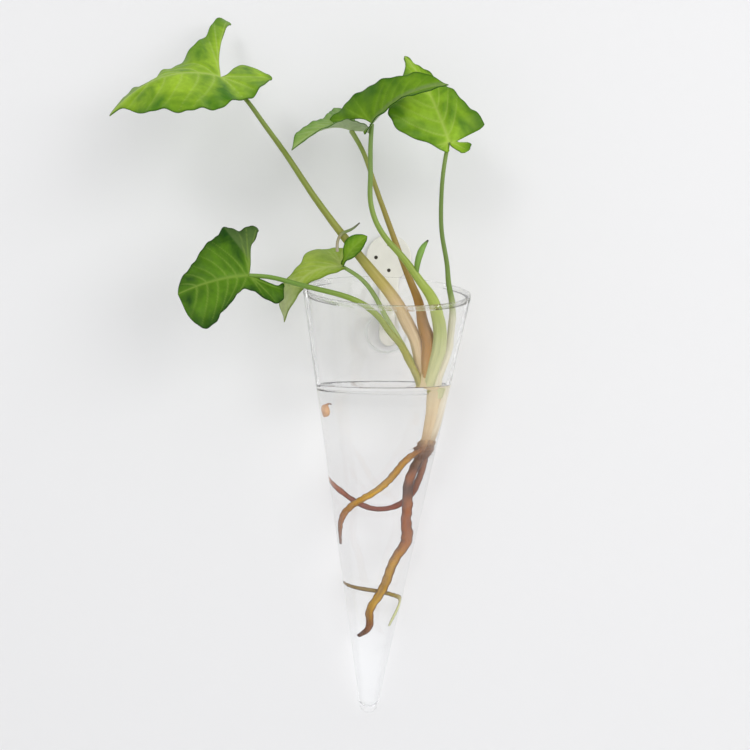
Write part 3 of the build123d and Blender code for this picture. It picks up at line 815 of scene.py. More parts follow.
def solid_material(name, colour, mottle, roughness, grain_scale, depth, metallic=0.0):
    """An opaque finish whose bump and faint mottling come from noise at two scales."""
    material, tree, output = new_material(name)
    place = own_place(tree)
    grain = noise(tree, place, grain_scale, 4.0)
    patch = noise(tree, place, grain_scale * patch_share, 2.0)
    colour = colour_ramp(tree, patch, [(0.35, colour), (0.7, mottle)])
    surface = add_node(tree, "ShaderNodeBsdfPrincipled", {
        "Base Color": colour, "Roughness": roughness, "Metallic": metallic,
        "Normal": bump(tree, grain, depth),
    })
    tree.links.new(surface.outputs[0], output.inputs["Surface"])
    return material


hook_plastic = solid_material("hook_plastic", paint(233, 231, 223), paint(228, 226, 218),
                              roughness=0.38, grain_scale=900.0, depth=0.03 * mm)
pin_steel = solid_material("pin_steel", paint(66, 62, 58), paint(84, 78, 70),
                           roughness=0.42, grain_scale=2500.0, depth=0.02 * mm, metallic=0.85)
for node_name, finish in (("wall_hook", hook_plastic), ("wall_pins", pin_steel)):
    mesh = frame["nodes"][node_name].data
    mesh.materials.clear()
    mesh.materials.append(finish)
    print(node_name, "is finished in", finish.name)

# %% [markdown]
# ## Stalks and roots
# Stems, leaf stalks and roots are all round, tapering and gently bent. A curve object with a
# bevel would do, but a mesh tube can also carry how far along it each point is, and its
# section can be widened, ribbed or made uneven. Each tube's rings stand square to a smooth
# line, and both ends are rounded off.

# %% One stalk
stalk_around = 20
uneven_waves = 9
uneven_total = 2.4
cap_share = 0.6
cap_turns = np.array([0.35, 0.7, 1.05, 1.35])


def uneven_shape(along, turns, lumps, seed):
    """Waves of random length and twist over a tube, as shares of its radius."""
    draw = np.random.default_rng(seed)
    uneven = np.zeros((len(along), len(turns)))
    for _ in range(uneven_waves):
        waves, spin = draw.uniform(3, 26), draw.integers(-2, 3)
        uneven += draw.uniform(-1, 1) * np.sin(
            waves * along[:, None] * 2 * pi + spin * turns[None] + draw.uniform(0, 6))
    return uneven * (lumps / uneven_total)


def stalk_corners(quads, metres):
    """Where each quad's corners lie on a flat strip: round the tube and metres along it."""
    row, column = quads[:, 0] // stalk_around, quads[:, 0] % stalk_around
    u = np.stack([column, column + 1, column + 1, column], axis=1) / stalk_around
    v = np.stack([metres[row], metres[row], metres[row + 1], metres[row + 1]], axis=1)
    return np.stack([u, v], axis=2).reshape(-1, 2)


def stalk_mesh(name, places, radii, spacing=0.6 * mm, widths=None, ribs=0, rib_depth=0.0,
               lumps=0.0, seed=0):
    """A tube through places, with its radius at each. Widths make it broader than deep, ribs
    run along it, and lumps, drawn from the seed, make it uneven."""
    line, at, knots = smooth_line(places, spacing)
    radius = smooth_value(knots, radii, at)
    width = np.ones(len(at)) if widths is None else smooth_value(knots, widths, at)
    ahead = unit(np.gradient(line, axis=0))
    across = unit(np.cross(ahead, [0.0, 1.0, 0.0]))
    toward = np.cross(across, ahead)
    turns = np.arange(stalk_around) * 2 * pi / stalk_around
    along = at / at[-1]
    shape = 1 + rib_depth * np.cos(ribs * turns)[None] + uneven_shape(along, turns, lumps, seed)
    size = radius[:, None] * shape
    rings = (line[:, None]
             + across[:, None] * (np.cos(turns)[None] * size * width[:, None])[..., None]
             + toward[:, None] * (np.sin(turns)[None] * size)[..., None])
    low_cap, high_cap = -ahead[0] * radius[0] * cap_share, ahead[-1] * radius[-1] * cap_share
    first = [line[0] + low_cap * sin(turn) + (rings[0] - line[0]) * cos(turn)
             for turn in cap_turns[::-1]]
    end = [line[-1] + high_cap * sin(turn) + (rings[-1] - line[-1]) * cos(turn)
           for turn in cap_turns]
    rings = np.concatenate([first, rings, end])
    caps = len(cap_turns)
    shares = np.concatenate([np.zeros(caps), along, np.ones(caps)])
    metres = np.concatenate([np.zeros(caps), at, np.full(caps, at[-1])])
    quads = grid_faces(len(rings), stalk_around, closed=True)
    count = len(rings) * stalk_around
    points = np.concatenate([rings.reshape(-1, 3), [line[0] + low_cap, line[-1] + high_cap]])
    faces, fans = quads.tolist(), []
    for k in range(stalk_around):
        after = (k + 1) % stalk_around
        faces.append([count, after, k])
        faces.append([count + 1, count - stalk_around + k, count - stalk_around + after])
        for v_end in (0.0, at[-1]):
            fans += [(k / stalk_around, v_end)] * 3
    corner_uv = np.concatenate([stalk_corners(quads, metres), fans])
    point_shares = {"along": np.concatenate([shares.repeat(stalk_around), [0.0, 1.0]])}
    return join_mesh(name, points, faces, point_shares, corner_uv)


def grow(piece, body, node, slot, finish, places, radius, radius_shares, **shape):
    """Draws one tube, its radii as shares of one in millimetres, and puts it in the scene."""
    mesh = stalk_mesh(piece, places, [radius * mm * share for share in radius_shares], **shape)
    place_piece(mesh, body, [node], slot, finish)


# %% [markdown]
# ## Stalk finishes
# A leaf stalk is glossy and faintly striped along its length, and its colour changes from
# cream or tan where it grew under leaves and water to green at its leaf. The number "along",
# which runs from 0 at the lower end to 1 at the leaf, drives a colour ramp, and noise drawn
# out along the tube lays the stripes over it.

# %% Stalk material
streak_scale = 45.0
fine_scales = (46.0, 160.0, 1.0)
speckle_scale = 1500.0


def stalk_material(name, stops, roughness=0.36, stripe=0.25, stripe_and_shade_tint=black, speckle=0.0,
                   gloss=0.5, bump_depth=0.05 * mm, glow=0.12, stripe_count=14.0, painted_edge_shade=0.0):
    """A striped stalk: colours along it, darker stripes and speckles, painted shade at the edges
    where it turns away from the eye, a waxy coat and a soft glow."""
    material, tree, output = new_material(name)
    uv = add_node(tree, "ShaderNodeUVMap", uv_map=strip_name).outputs["UV"]

    def drawn_noise(scales, detail):
        """Noise stretched by these scales round and along the stalk."""
        mapping = add_node(tree, "ShaderNodeMapping", {"Vector": uv, "Scale": scales})
        return noise(tree, mapping.outputs["Vector"], 1.0, detail)

    facing = add_node(tree, "ShaderNodeLayerWeight", {"Blend": 0.5}).outputs["Facing"]
    colour = colour_ramp(tree, share_of(tree, "along"), stops)
    # The third mask is painted shade: it darkens the colour towards the stripe tint where the stalk
    # turns away from the eye
    for factor, low, high, most in (
            (drawn_noise((stripe_count, streak_scale, 1.0), 3.0), 0.4, 0.72, stripe),
            (noise(tree, own_place(tree), speckle_scale, 1.0), 0.6, 0.72, speckle),
            (facing, 0.2, 0.6, painted_edge_shade)):
        if most:
            mask = colour_ramp(tree, factor, [(low, black), (high, grey(most))])
            colour = blend_colours(tree, mask, colour, stripe_and_shade_tint)
    surface = add_node(tree, "ShaderNodeBsdfPrincipled", {
        "Base Color": colour, "Roughness": roughness, "Specular IOR Level": gloss,
        "Normal": bump(tree, drawn_noise(fine_scales, 2.0), bump_depth),
    })
    through = add_node(tree, "ShaderNodeBsdfTranslucent", {"Color": colour})
    mixed = mix_shaders(tree, glow, surface, through)
    tree.links.new(mixed.outputs[0], output.inputs["Surface"])
    return material


stalk_stops = {
    "petiole_top_left": painted(
        (0.0, 222, 196, 148), (0.16, 232, 208, 168), (0.26, 224, 198, 150), (0.32, 194, 176, 96),
        (0.4, 168, 164, 70), (0.6, 136, 150, 54), (1.0, 116, 144, 54)),
    "petiole_middle_back": painted(
        (0.0, 202, 162, 98), (0.15, 186, 136, 68), (0.3, 168, 118, 46), (0.4, 160, 124, 50),
        (0.55, 164, 142, 60), (0.8, 148, 148, 62), (0.94, 134, 156, 66), (1.0, 172, 192, 112)),
    "petiole_middle_front": painted(
        (0.0, 216, 212, 160), (0.18, 208, 212, 148), (0.3, 188, 200, 106), (0.38, 164, 182, 78),
        (0.55, 150, 172, 66), (0.8, 126, 154, 68), (1.0, 112, 144, 60)),
    "petiole_right": painted(
        (0.0, 236, 226, 196), (0.3, 230, 224, 196), (0.36, 170, 180, 124), (0.41, 122, 148, 68),
        (0.8, 112, 140, 60), (1.0, 134, 160, 70)),
    "petiole_low_left": painted(
        (0.0, 180, 168, 98), (0.2, 170, 166, 78), (0.38, 154, 166, 70), (0.55, 134, 160, 60),
        (0.8, 112, 150, 50), (1.0, 124, 160, 60)),
    "petiole_small": painted(
        (0.0, 190, 196, 130), (0.35, 172, 188, 116), (0.7, 150, 174, 96), (1.0, 140, 170, 84)),
    "young_shoot": painted(
        (0.0, 112, 138, 52), (0.3, 120, 156, 58), (0.75, 128, 172, 66), (0.93, 112, 150, 60),
        (0.98, 58, 52, 30), (1.0, 40, 36, 26)),
    "dried_tendril": painted(
        (0.0, 186, 176, 156), (0.35, 160, 150, 110), (0.6, 128, 150, 84), (0.85, 120, 130, 90),
        (1.0, 92, 84, 78)),
}
stripe_brown = paint(120, 92, 44)
stripe_green = paint(70, 96, 36)

# %% [markdown]
# ## Where the cutting grows
# The tables below are the cutting's own shape: places that each stalk and root passes
# through, as shares of the cone or of the foliage's height, with its thickness there. They
# follow the CAD model's tables. The stalks here are a little thinner, and they end at the
# water line, where the CAD model's stalks run on into the stem.

# %% Thicknesses in millimetres
husk_below_water = 10.2
husk_length = 7.0
husk_radius = 2.8
stem_radius = 4.4
side_stem_radius = 3.4
crown_radius = 4.0
root_main_radius = 2.1
root_gold_radius = 1.5
root_brown_radius = 1.4
root_cross_radius = 1.1
petiole_radii = {
    "petiole_top_left": 3.4,
    "petiole_middle_back": 2.4,
    "petiole_middle_front": 3.0,
    "petiole_right": 2.1,
    "petiole_low_left": 2.0,
    "petiole_small": 1.6,
    "young_shoot": 1.6,
    "dried_tendril": 0.6,
}

# %% Stem, crown and husk
stem_shares = [
    (0.63, -0.02, 0.84), (0.645, -0.02, 0.815), (0.655, 0.0, 0.785), (0.67, 0.0, 0.74),
    (0.66, 0.0, 0.69), (0.65, 0.0, 0.663),
]
stem_radius_shares = [0.3, 0.76, 0.92, 0.8, 0.68, 0.62]

side_stem_shares = [
    (0.83, 0.0, 0.825), (0.82, 0.01, 0.80), (0.79, 0.01, 0.755), (0.74, 0.0, 0.71),
    (0.68, 0.0, 0.67),
]
side_stem_radius_shares = [0.6, 0.95, 1.0, 0.85, 0.65]

crown_shares = [
    (0.66, 0.01, 0.68), (0.645, 0.0, 0.664), (0.615, 0.0, 0.65), (0.575, 0.0, 0.637),
]
crown_radius_shares = [0.8, 1.0, 0.96, 0.5]

husk_length_shares = [(-0.34, -0.52), (-0.28, -0.4), (-0.18, -0.2), (-0.08, 0.0), (0.02, 0.2),
                      (0.1, 0.34), (0.22, 0.42), (0.4, 0.42)]
husk_radius_shares = [0.35, 0.75, 1.0, 0.92, 0.55, 0.22, 0.13, 0.1]

# %% Roots
root_main_shares = [
    (0.59, 0.0, 0.645), (0.50, 0.0, 0.605), (0.47, 0.0, 0.565), (0.51, 0.0, 0.53),
    (0.56, 0.0, 0.475), (0.63, 0.0, 0.44), (0.46, 0.0, 0.40), (0.34, 0.0, 0.355),
    (0.15, 0.0, 0.305), (-0.10, 0.0, 0.26), (-0.08, 0.0, 0.235), (-0.20, 0.0, 0.215),
    (-0.50, 0.0, 0.20),
]
root_main_radius_shares = [0.9, 0.9, 0.9, 0.9, 1.0, 1.15, 0.95, 0.85, 0.8, 0.72, 0.65, 0.55, 0.4]

root_gold_shares = [
    (0.60, -0.12, 0.66), (0.45, -0.14, 0.645), (0.22, -0.14, 0.60), (-0.06, -0.14, 0.56),
    (-0.39, -0.13, 0.53), (-0.63, -0.12, 0.50), (-0.77, -0.12, 0.465), (-0.82, -0.12, 0.425),
]
root_gold_radius_shares = [0.9, 1.0, 1.0, 1.0, 0.95, 0.9, 0.8, 0.5]

root_brown_shares = [
    (0.63, 0.10, 0.645), (0.62, 0.12, 0.605), (0.58, 0.14, 0.573), (0.42, 0.18, 0.532),
    (0.22, 0.20, 0.517), (-0.06, 0.22, 0.513), (-0.35, 0.25, 0.527), (-0.66, 0.28, 0.558),
    (-0.80, 0.29, 0.575),
]
root_brown_radius_shares = [1.0, 1.0, 0.95, 0.95, 0.95, 0.95, 0.9, 0.85, 0.6]

root_cross_shares = [
    (-0.80, 0.14, 0.324), (-0.56, 0.13, 0.32), (-0.19, 0.12, 0.317), (0.17, 0.12, 0.313),
    (0.50, 0.10, 0.305), (0.78, 0.06, 0.292), (0.80, 0.0, 0.27), (0.70, 0.0, 0.25),
    (0.60, 0.0, 0.228),
]
root_cross_radius_shares = [0.7, 0.9, 1.0, 1.0, 0.9, 0.8, 0.7, 0.6, 0.4]

roots = {
    "root_main": (root_main_shares, root_main_radius, root_main_radius_shares),
    "root_gold": (root_gold_shares, root_gold_radius, root_gold_radius_shares),
    "root_brown": (root_brown_shares, root_brown_radius, root_brown_radius_shares),
    "root_cross": (root_cross_shares, root_cross_radius, root_cross_radius_shares),
}

# %% Leaf stalks
over_the_rim = ("petiole_low_left", "petiole_small", "leaf_low_left", "leaf_small",
                "leaf_small_lobe")
# Each stalk: its places inside the cone, those outside it, and its radius shares at them all
petiole_shares = {
    "petiole_top_left": (
        [
            (0.61, 0.0, 0.78), (0.6, 0.0, 0.815), (0.52, 0.01, 0.852), (0.44, 0.02, 0.89),
            (0.31, 0.03, 0.925), (0.16, 0.04, 0.965),
        ],
        [
            (-0.035, 0.005, 0.045), (-0.15, -0.005, 0.185), (-0.28, -0.02, 0.36),
            (-0.37, -0.03, 0.495), (-0.45, -0.035, 0.605), (-0.51, -0.042, 0.685),
            (-0.572, -0.04, 0.745),
        ],
        [0.66, 0.72, 0.8, 0.82, 0.82, 0.8, 0.72, 0.54, 0.44, 0.38, 0.34, 0.3, 0.26],
    ),
    "petiole_middle_back": (
        [
            (0.655, -0.05, 0.78), (0.655, -0.05, 0.82), (0.63, -0.05, 0.857), (0.61, -0.05, 0.893),
            (0.52, -0.05, 0.924), (0.42, -0.05, 0.972),
        ],
        [
            (0.09, -0.01, 0.02), (0.06, -0.005, 0.095), (0.005, 0.01, 0.245),
            (-0.055, 0.025, 0.415), (-0.09, 0.035, 0.51), (-0.13, 0.04, 0.58),
        ],
        [0.8, 1.1, 1.25, 1.3, 1.12, 0.88, 0.7, 0.62, 0.54, 0.48, 0.46, 0.5],
    ),
    "petiole_middle_front": (
        [
            (0.7, -0.05, 0.78), (0.72, -0.07, 0.825), (0.76, -0.12, 0.875), (0.73, -0.16, 0.92),
            (0.64, -0.21, 0.963), (0.56, -0.25, 0.992),
        ],
        [
            (0.125, -0.09, 0.02), (0.055, -0.095, 0.115), (0.005, -0.1, 0.17),
            (-0.035, -0.105, 0.23), (-0.06, -0.11, 0.315), (-0.06, -0.115, 0.4),
            (-0.06, -0.12, 0.49), (-0.055, -0.125, 0.58),
        ],
        [0.8, 1.0, 1.02, 0.95, 0.86, 0.76, 0.64, 0.5, 0.45, 0.42, 0.4, 0.38, 0.36, 0.34],
    ),
    "petiole_right": (
        [
            (0.83, 0.0, 0.785), (0.865, 0.0, 0.83), (0.92, 0.01, 0.877), (0.9, 0.03, 0.924),
            (0.85, 0.04, 0.97),
        ],
        [
            (0.225, 0.01, 0.025), (0.22, 0.0, 0.08), (0.2, -0.015, 0.195), (0.195, -0.035, 0.32),
            (0.2, -0.05, 0.41), (0.213, -0.054, 0.495), (0.218, -0.054, 0.52),
        ],
        [1.0, 1.0, 0.9, 0.82, 0.7, 0.58, 0.53, 0.5, 0.48, 0.47, 0.46, 0.42],
    ),
    "petiole_low_left": (
        [
            (0.6, -0.04, 0.785), (0.51, -0.08, 0.815), (0.34, -0.13, 0.856), (0.22, -0.16, 0.887),
            (0.05, -0.19, 0.917), (-0.07, -0.21, 0.943), (-0.39, -0.24, 0.982),
            (-0.71, -0.27, 0.999), (-0.96, -0.3, 1.009),
        ],
        [
            (-0.048, -0.098, 0.017), (-0.113, -0.103, 0.032), (-0.183, -0.108, 0.037),
        ],
        [0.8, 0.86, 0.84, 0.82, 0.78, 0.74, 0.68, 0.62, 0.58, 0.56, 0.54, 0.5],
    ),
    "petiole_small": (
        [
            (0.43, 0.0, 0.841), (0.27, 0.02, 0.877), (0.13, 0.04, 0.909), (-0.01, 0.06, 0.943),
            (-0.22, 0.1, 1.0),
        ],
        [
            (0.202, 0.017, 0.037), (0.172, 0.027, 0.057), (0.147, 0.032, 0.072),
        ],
        [0.8, 0.85, 0.82, 0.76, 0.7, 0.62, 0.58, 0.55],
    ),
    "young_shoot": (
        [],
        [
            (0.105, -0.092, 0.045), (0.108, -0.1, 0.095), (0.118, -0.095, 0.13),
            (0.13, -0.09, 0.155), (0.145, -0.09, 0.175),
        ],
        [0.5, 0.9, 1.0, 0.8, 0.3],
    ),
    "dried_tendril": (
        [],
        [
            (-0.18, -0.024, 0.14), (-0.176, -0.026, 0.185), (-0.16, -0.026, 0.205),
            (-0.135, -0.035, 0.215), (-0.1, -0.045, 0.24),
        ],
        [1.0, 0.9, 0.9, 0.8, 0.6],
    ),
}

# %% Draw the leaf stalks
# Each stalk's width beyond its depth, at its lower end, a third up, two thirds up and its top
stalk_width_shares = {
    "petiole_top_left": (1.0, 1.15, 1.0, 1.0),
    "petiole_middle_back": (1.0, 1.1, 1.0, 1.0),
    "petiole_middle_front": (1.1, 1.15, 1.0, 1.0),
    "petiole_right": (1.1, 1.1, 1.0, 1.0),
    "petiole_low_left": (1.0, 1.0, 1.0, 1.0),
    "petiole_small": (1.0, 1.0, 1.0, 1.0),
    "young_shoot": (0.9, 1.0, 0.95, 0.9),
    "dried_tendril": (1.3, 1.3, 1.5, 1.0),
}
stalk_slots = {
    "petiole_middle_back": "brown_stalk",
    "young_shoot": "young_green",
    "dried_tendril": "dry_scale",
}


def four_values(shares, count):
    """Spreads four values, at the ends and thirds, over this many places."""
    return np.interp(np.linspace(0, 1, count), (0, 1 / 3, 2 / 3, 1), shares)


for order, (name, (inside, outside, radius_shares)) in enumerate(petiole_shares.items()):
    placed = above_rim if name in over_the_rim else above_mouth
    places = [in_cone(*s) for s in inside] + [placed(*s) for s in outside]
    brown = name in ("petiole_top_left", "petiole_middle_back")
    finish = stalk_material(name + "_skin", stalk_stops[name], stripe=0.3,
                            stripe_and_shade_tint=stripe_brown if brown else stripe_green)
    grow(name + "_stalk", "cutting", name, stalk_slots.get(name, "green_stalk"), finish,
         places, petiole_radii[name], radius_shares,
         widths=four_values(stalk_width_shares[name], len(places)), ribs=7, rib_depth=0.018,
         lumps=0.015, seed=order)

# %% [markdown]
# ## The stem and the roots under water
# The stem has stood in water for weeks, so it is bleached to cream, and two strands of it
# grow down side by side. At its end sits a knotty crown, and from there the roots go down.
# They are darker, rougher and less even than stalks: brown skin worn through to gold, a fine
# dark fuzz near the crown, and painted shade along their sides where they turn from the eye.

# %% Stem strands
stem_stops = painted((0.0, 214, 196, 140), (0.3, 226, 206, 164), (0.75, 222, 196, 152),
                     (1.0, 168, 130, 84))
side_stem_stops = painted((0.0, 230, 224, 192), (0.4, 234, 224, 198), (0.8, 222, 206, 172),
                          (1.0, 164, 138, 98))
strands = {
    "stem": (stem_shares, stem_radius, stem_radius_shares, stem_stops),
    "side_stem": (side_stem_shares, side_stem_radius, side_stem_radius_shares, side_stem_stops),
}
for name, (shares, radius, radius_shares, stops) in strands.items():
    finish = stalk_material(name + "_skin", stops, stripe=0.35, stripe_and_shade_tint=paint(188, 150, 104))
    grow(name + "_strand", "cutting", name, "pale_stem", finish,
         [in_cone(*s) for s in shares], radius, radius_shares, ribs=5, rib_depth=0.04,
         lumps=0.03, seed=30 + len(name))

# %% Root finishes and roots
root_stops = {
    "root_main": painted(
        (0.0, 140, 98, 52), (0.06, 96, 56, 22), (0.12, 166, 92, 30), (0.17, 84, 48, 20),
        (0.2, 104, 60, 24), (0.24, 158, 90, 32), (0.36, 164, 88, 26), (0.46, 168, 96, 6),
        (0.58, 190, 138, 6), (0.8, 202, 154, 12), (0.93, 150, 88, 6), (1.0, 84, 46, 8)),
    "root_gold": painted(
        (0.0, 150, 88, 14), (0.15, 200, 142, 4), (0.5, 212, 162, 10), (0.75, 172, 104, 4),
        (1.0, 110, 54, 6)),
    "root_brown": painted(
        (0.0, 140, 86, 44), (0.3, 154, 82, 30), (0.4, 152, 64, 2), (0.7, 146, 58, 0),
        (0.85, 156, 72, 6), (1.0, 160, 88, 30)),
    "root_cross": painted(
        (0.0, 128, 98, 16), (0.4, 146, 120, 22), (0.58, 166, 146, 48), (0.72, 214, 218, 128),
        (1.0, 230, 234, 176)),
}
root_slots = {"root_main": "root_brown", "root_gold": "root_gold",
              "root_brown": "root_brown", "root_cross": "root_olive"}
# The root stripe colour also serves as painted shade, darkening each root's sides where it turns
# from the eye
root_stripe_and_shade = paint(76, 30, 2)
root_dark, pale_root_dark = 0.6, 0.3
for order, (name, (shares, radius, radius_shares)) in enumerate(roots.items()):
    dark_share = pale_root_dark if name == "root_cross" else root_dark
    finish = stalk_material(name + "_skin", root_stops[name], roughness=0.5, stripe=dark_share,
                            stripe_and_shade_tint=root_stripe_and_shade, speckle=dark_share / 2, gloss=0.35,
                            bump_depth=0.2 * mm, glow=0.1, stripe_count=5.0, painted_edge_shade=0.75)
    grow(name + "_thread", "cutting", name, root_slots[name], finish,
         [in_cone(*s) for s in shares], radius, radius_shares, spacing=0.5 * mm, lumps=0.1,
         seed=40 + order)

# %% Crown and its fine hairs
crown_stops = painted((0.0, 196, 160, 112), (0.35, 150, 104, 62), (0.7, 126, 80, 44),
                      (1.0, 112, 66, 32))
crown_finish = stalk_material("crown_skin", crown_stops, roughness=0.7, stripe=0.6,
                              stripe_and_shade_tint=paint(72, 44, 22), speckle=0.7, gloss=0.2,
                              bump_depth=0.5 * mm)
crown_places = [in_cone(*s) for s in crown_shares]
grow("root_crown_knot", "cutting", "root_crown", "root_brown", crown_finish, crown_places,
     crown_radius, crown_radius_shares, spacing=0.35 * mm, lumps=0.16, seed=60)

hair_count = 70
hair_radius = 0.13 * mm
hair_length = 3.4 * mm
hair_sides = 5
hair_steps = (0, 0.3, 0.6, 0.85, 1.0)
hair_droop = np.array([0, 0, -0.35])
hair_root_share = 0.75
hair_seed = 71


def hair_tuft():
    """Short thin hairs that stand out from the crown, drooping, as one mesh."""
    draw = np.random.default_rng(hair_seed)
    points, faces = [], []
    turns = np.arange(hair_sides) * 2 * pi / hair_sides
    last_ring = (len(hair_steps) - 1) * hair_sides
    for _ in range(hair_count):
        start = crown_places[0] + (crown_places[-1] - crown_places[0]) * draw.uniform(0.2, 0.95)
        turn = draw.uniform(0, 2 * pi)
        out = np.array([cos(turn), sin(turn), draw.uniform(-0.5, 0.15)])
        length = hair_length * draw.uniform(0.4, 1.15)
        base = start + unit(out) * crown_radius * mm * hair_root_share
        across = unit(np.cross(out, [0.1, 0.2, 1.0]))
        other = unit(np.cross(across, out))
        first = sum(len(ring) for ring in points)
        for share in hair_steps:
            middle = base + unit(out) * length * share + hair_droop * length * share**2
            radius = hair_radius * (1.05 - 0.8 * share)
            points.append(middle + across * np.cos(turns)[:, None] * radius
                          + other * np.sin(turns)[:, None] * radius)
        faces += (grid_faces(len(hair_steps), hair_sides, closed=True) + first).tolist()
        faces += [list(range(first, first + hair_sides))[::-1],
                  list(range(first + last_ring, first + last_ring + hair_sides))]
    return join_mesh("root_hairs", np.concatenate(points), faces)


hair_finish = solid_material("hair_skin", paint(104, 68, 40), paint(146, 104, 66),
                             roughness=0.7, grain_scale=900.0, depth=0.05 * mm)
place_piece(hair_tuft(), "cutting", [], "root_brown", hair_finish)

# %% [markdown]
# ## The floating husk
# A loose bud scale floats near the left of the glass. It is a small, orange-brown oval with
# a darker, thin hook at its upper end. A short tube that swells and then narrows gives both.

# %% Husk
husk_height = (water_level - husk_below_water * mm - tip[2]) / axis[2]
husk_place = in_cone(-0.78, -0.20, husk_height / vase_length)
husk_places = [
    husk_place + np.array([along, 0, up]) * husk_length * mm for along, up in husk_length_shares
]
husk_stops = painted((0.0, 206, 152, 100), (0.35, 226, 176, 124), (0.6, 214, 158, 106),
                     (0.85, 140, 88, 52), (1.0, 104, 62, 38))
husk_finish = stalk_material("husk_skin", husk_stops, roughness=0.6, stripe=0.3,
                             stripe_and_shade_tint=paint(160, 100, 54), speckle=0.25, gloss=0.3)
grow("husk_shell", "vase", "husk", "husk", husk_finish, husk_places, husk_radius,
     husk_radius_shares, spacing=0.2 * mm, ribs=3, rib_depth=0.03, lumps=0.05, seed=80)

# %% [markdown]
# ## Leaves
# An arrow-shaped leaf is one thin sheet that bends along its midrib and folds on each side
# of it. Its outline could be traced, but the bend and the folds make the look, so each half
# is drawn as a grid: how far along the midrib, how far out, and at which fold. The edges run
# smoothly through a table of a dozen places. Veins are real relief: the sheet quilts up
# between them, and each point also carries how near it is to a vein and to the rim, for the
# colour. A few lobes and edges follow the photographed leaf more closely than the CAD model.

# %% One half of a blade
lobe_sweep_share = 2.4
curl_share = 0.2
tip_run_share = 0.03
blade_spacing = 0.55 * mm
blade_weld = 0.02 * mm
quilt_height = 0.35 * mm
rim_width = 0.55 * mm
vein_reach, rib_reach = 0.42 * mm, 0.7 * mm
halo_reach, rib_halo_reach = 2.2 * mm, 3.4 * mm
quilt_reach, rib_quilt_reach = 1.3 * mm, 1.6 * mm
vein_starts = (0.06, 0.19, 0.33, 0.48, 0.63, 0.78)
vein_sweep, low_vein_sweep = 0.2, 0.12
vein_end_share = 0.94
vein_steps = 14
# Each vein of a lobe: how far down the lobe and how far across it ends, and how it bows
lobe_veins = ((0.92, 0.5, 1.25), (0.55, 0.9, 1.0), (0.2, 0.9, 0.9))


def fade(distance, reach):
    """One on a line and smoothly less beside it: about a third is left at this reach."""
    return np.exp(-(distance / reach) ** 2)


class HalfBlade:
    """Edges and fold of one half as smooth functions of the place along the midrib. Its rows
    hold a place along the midrib, the inner and the outer edge there, and the fold."""

    def __init__(self, rows):
        rows = [tuple(map(float, row)) for row in rows]
        first_along, first_inner, first_outer, _ = rows[0]
        self.middle, self.half = (first_inner + first_outer) / 2, (first_outer - first_inner) / 2
        self.start = first_along - 0.5 * self.half
        table = np.array(rows + [(rows[-1][0] + tip_run_share, 0.0, 0.0, rows[-1][3])])
        self.knots, self.outer_values, self.folds = table[:, 0], table[:, 2], table[:, 3]
        lobe = table[table[:, 0] < 0]
        self.has_lobe = len(lobe) > 0
        self.lobe_knots = np.append(lobe[:, 0] if self.has_lobe else -1.0, 0.0)
        self.inner_values = np.append(lobe[:, 1] if self.has_lobe else 0.0, 0.0)
        self.first, self.tip = table[0, 0], table[-1, 0]

    def edges(self, along):
        """Inner and outer edge and fold at places along the midrib; a lobe ends round."""
        outer = smooth_value(self.knots, self.outer_values, along)
        inner = np.where(along < 0, smooth_value(self.lobe_knots, self.inner_values, along), 0.0)
        if self.has_lobe:
            before = along < self.first
            span = max(self.first - self.start, 1e-6)
            share = np.clip((self.first - along) / span, 0, 1)
            round_off = self.half * np.sqrt(np.clip(1 - share**2, 0, 1))
            inner = np.where(before, self.middle - round_off, inner)
            outer = np.where(before, self.middle + round_off, outer)
        return inner, outer, smooth_value(self.knots, self.folds, along)


def vein_lines(half):
    """Curves of one half's veins as (along, out, width) rows, from the midrib outwards."""
    lines = []
    t = np.linspace(0, 1, vein_steps)
    for start in vein_starts:
        end = min(start + vein_sweep + low_vein_sweep * (1 - start), 0.99)
        reach = half.edges(np.array([end]))[1][0] * vein_end_share
        lines.append((start + (end - start) * t**1.6, reach * t, 1 - 0.75 * t))
    if half.first < 0:
        for depth, across, bow in lobe_veins:
            end = half.first * depth
            inner, outer, _ = half.edges(np.array([end]))
            goal = inner[0] + (outer[0] - inner[0]) * across
            lines.append((end * t**bow, goal * t, 1.3 - 0.95 * t))
    return lines


def vein_distance(along, out, lines, length):
    """Distance to the nearest vein in metres, and that vein's width share there."""
    nearest = np.full(along.shape, 1.0)
    width = np.ones(along.shape)
    for line_along, line_out, line_width in lines:
        for k in range(len(line_along) - 1):
            ax, ay = line_along[k], line_out[k]
            dx, dy = line_along[k + 1] - ax, line_out[k + 1] - ay
            share = ((along - ax) * dx + (out - ay) * dy) / (dx * dx + dy * dy + 1e-12)
            share = np.clip(share, 0, 1)
            gap = np.hypot(along - ax - dx * share, out - ay - dy * share) * length
            closer = gap < nearest
            nearest = np.where(closer, gap, nearest)
            width = np.where(closer, line_width[k], width)
    return nearest, width


# %% A whole blade
def blade_half_grid(blade, tip_end, length):
    """The grid of one half: places along and out, the edges at each row, and the folds."""
    rib_rows = max(12, int(tip_end * length / blade_spacing))
    rib = tip_end * (1 - (1 - np.linspace(0, 1, rib_rows)) ** 1.15)
    lobe_length = -blade.start if blade.has_lobe else 0.0
    lobe = []
    if lobe_length:
        lobe_rows = int(lobe_length * length / blade_spacing) + 6
        lobe = -lobe_length * np.sin(np.linspace(pi / 2, 0, lobe_rows + 1)[:-1])
    along = np.concatenate([lobe, rib])
    inner, outer, fold = blade.edges(along)
    outer = np.where(along > blade.tip, 0.0, outer)
    columns = max(10, int(outer.max() * length / blade_spacing))
    out = inner[:, None] + (outer - inner)[:, None] * np.linspace(0, 1, columns)[None]
    return along[:, None].repeat(columns, 1), out, inner, outer, np.radians(fold)[:, None]


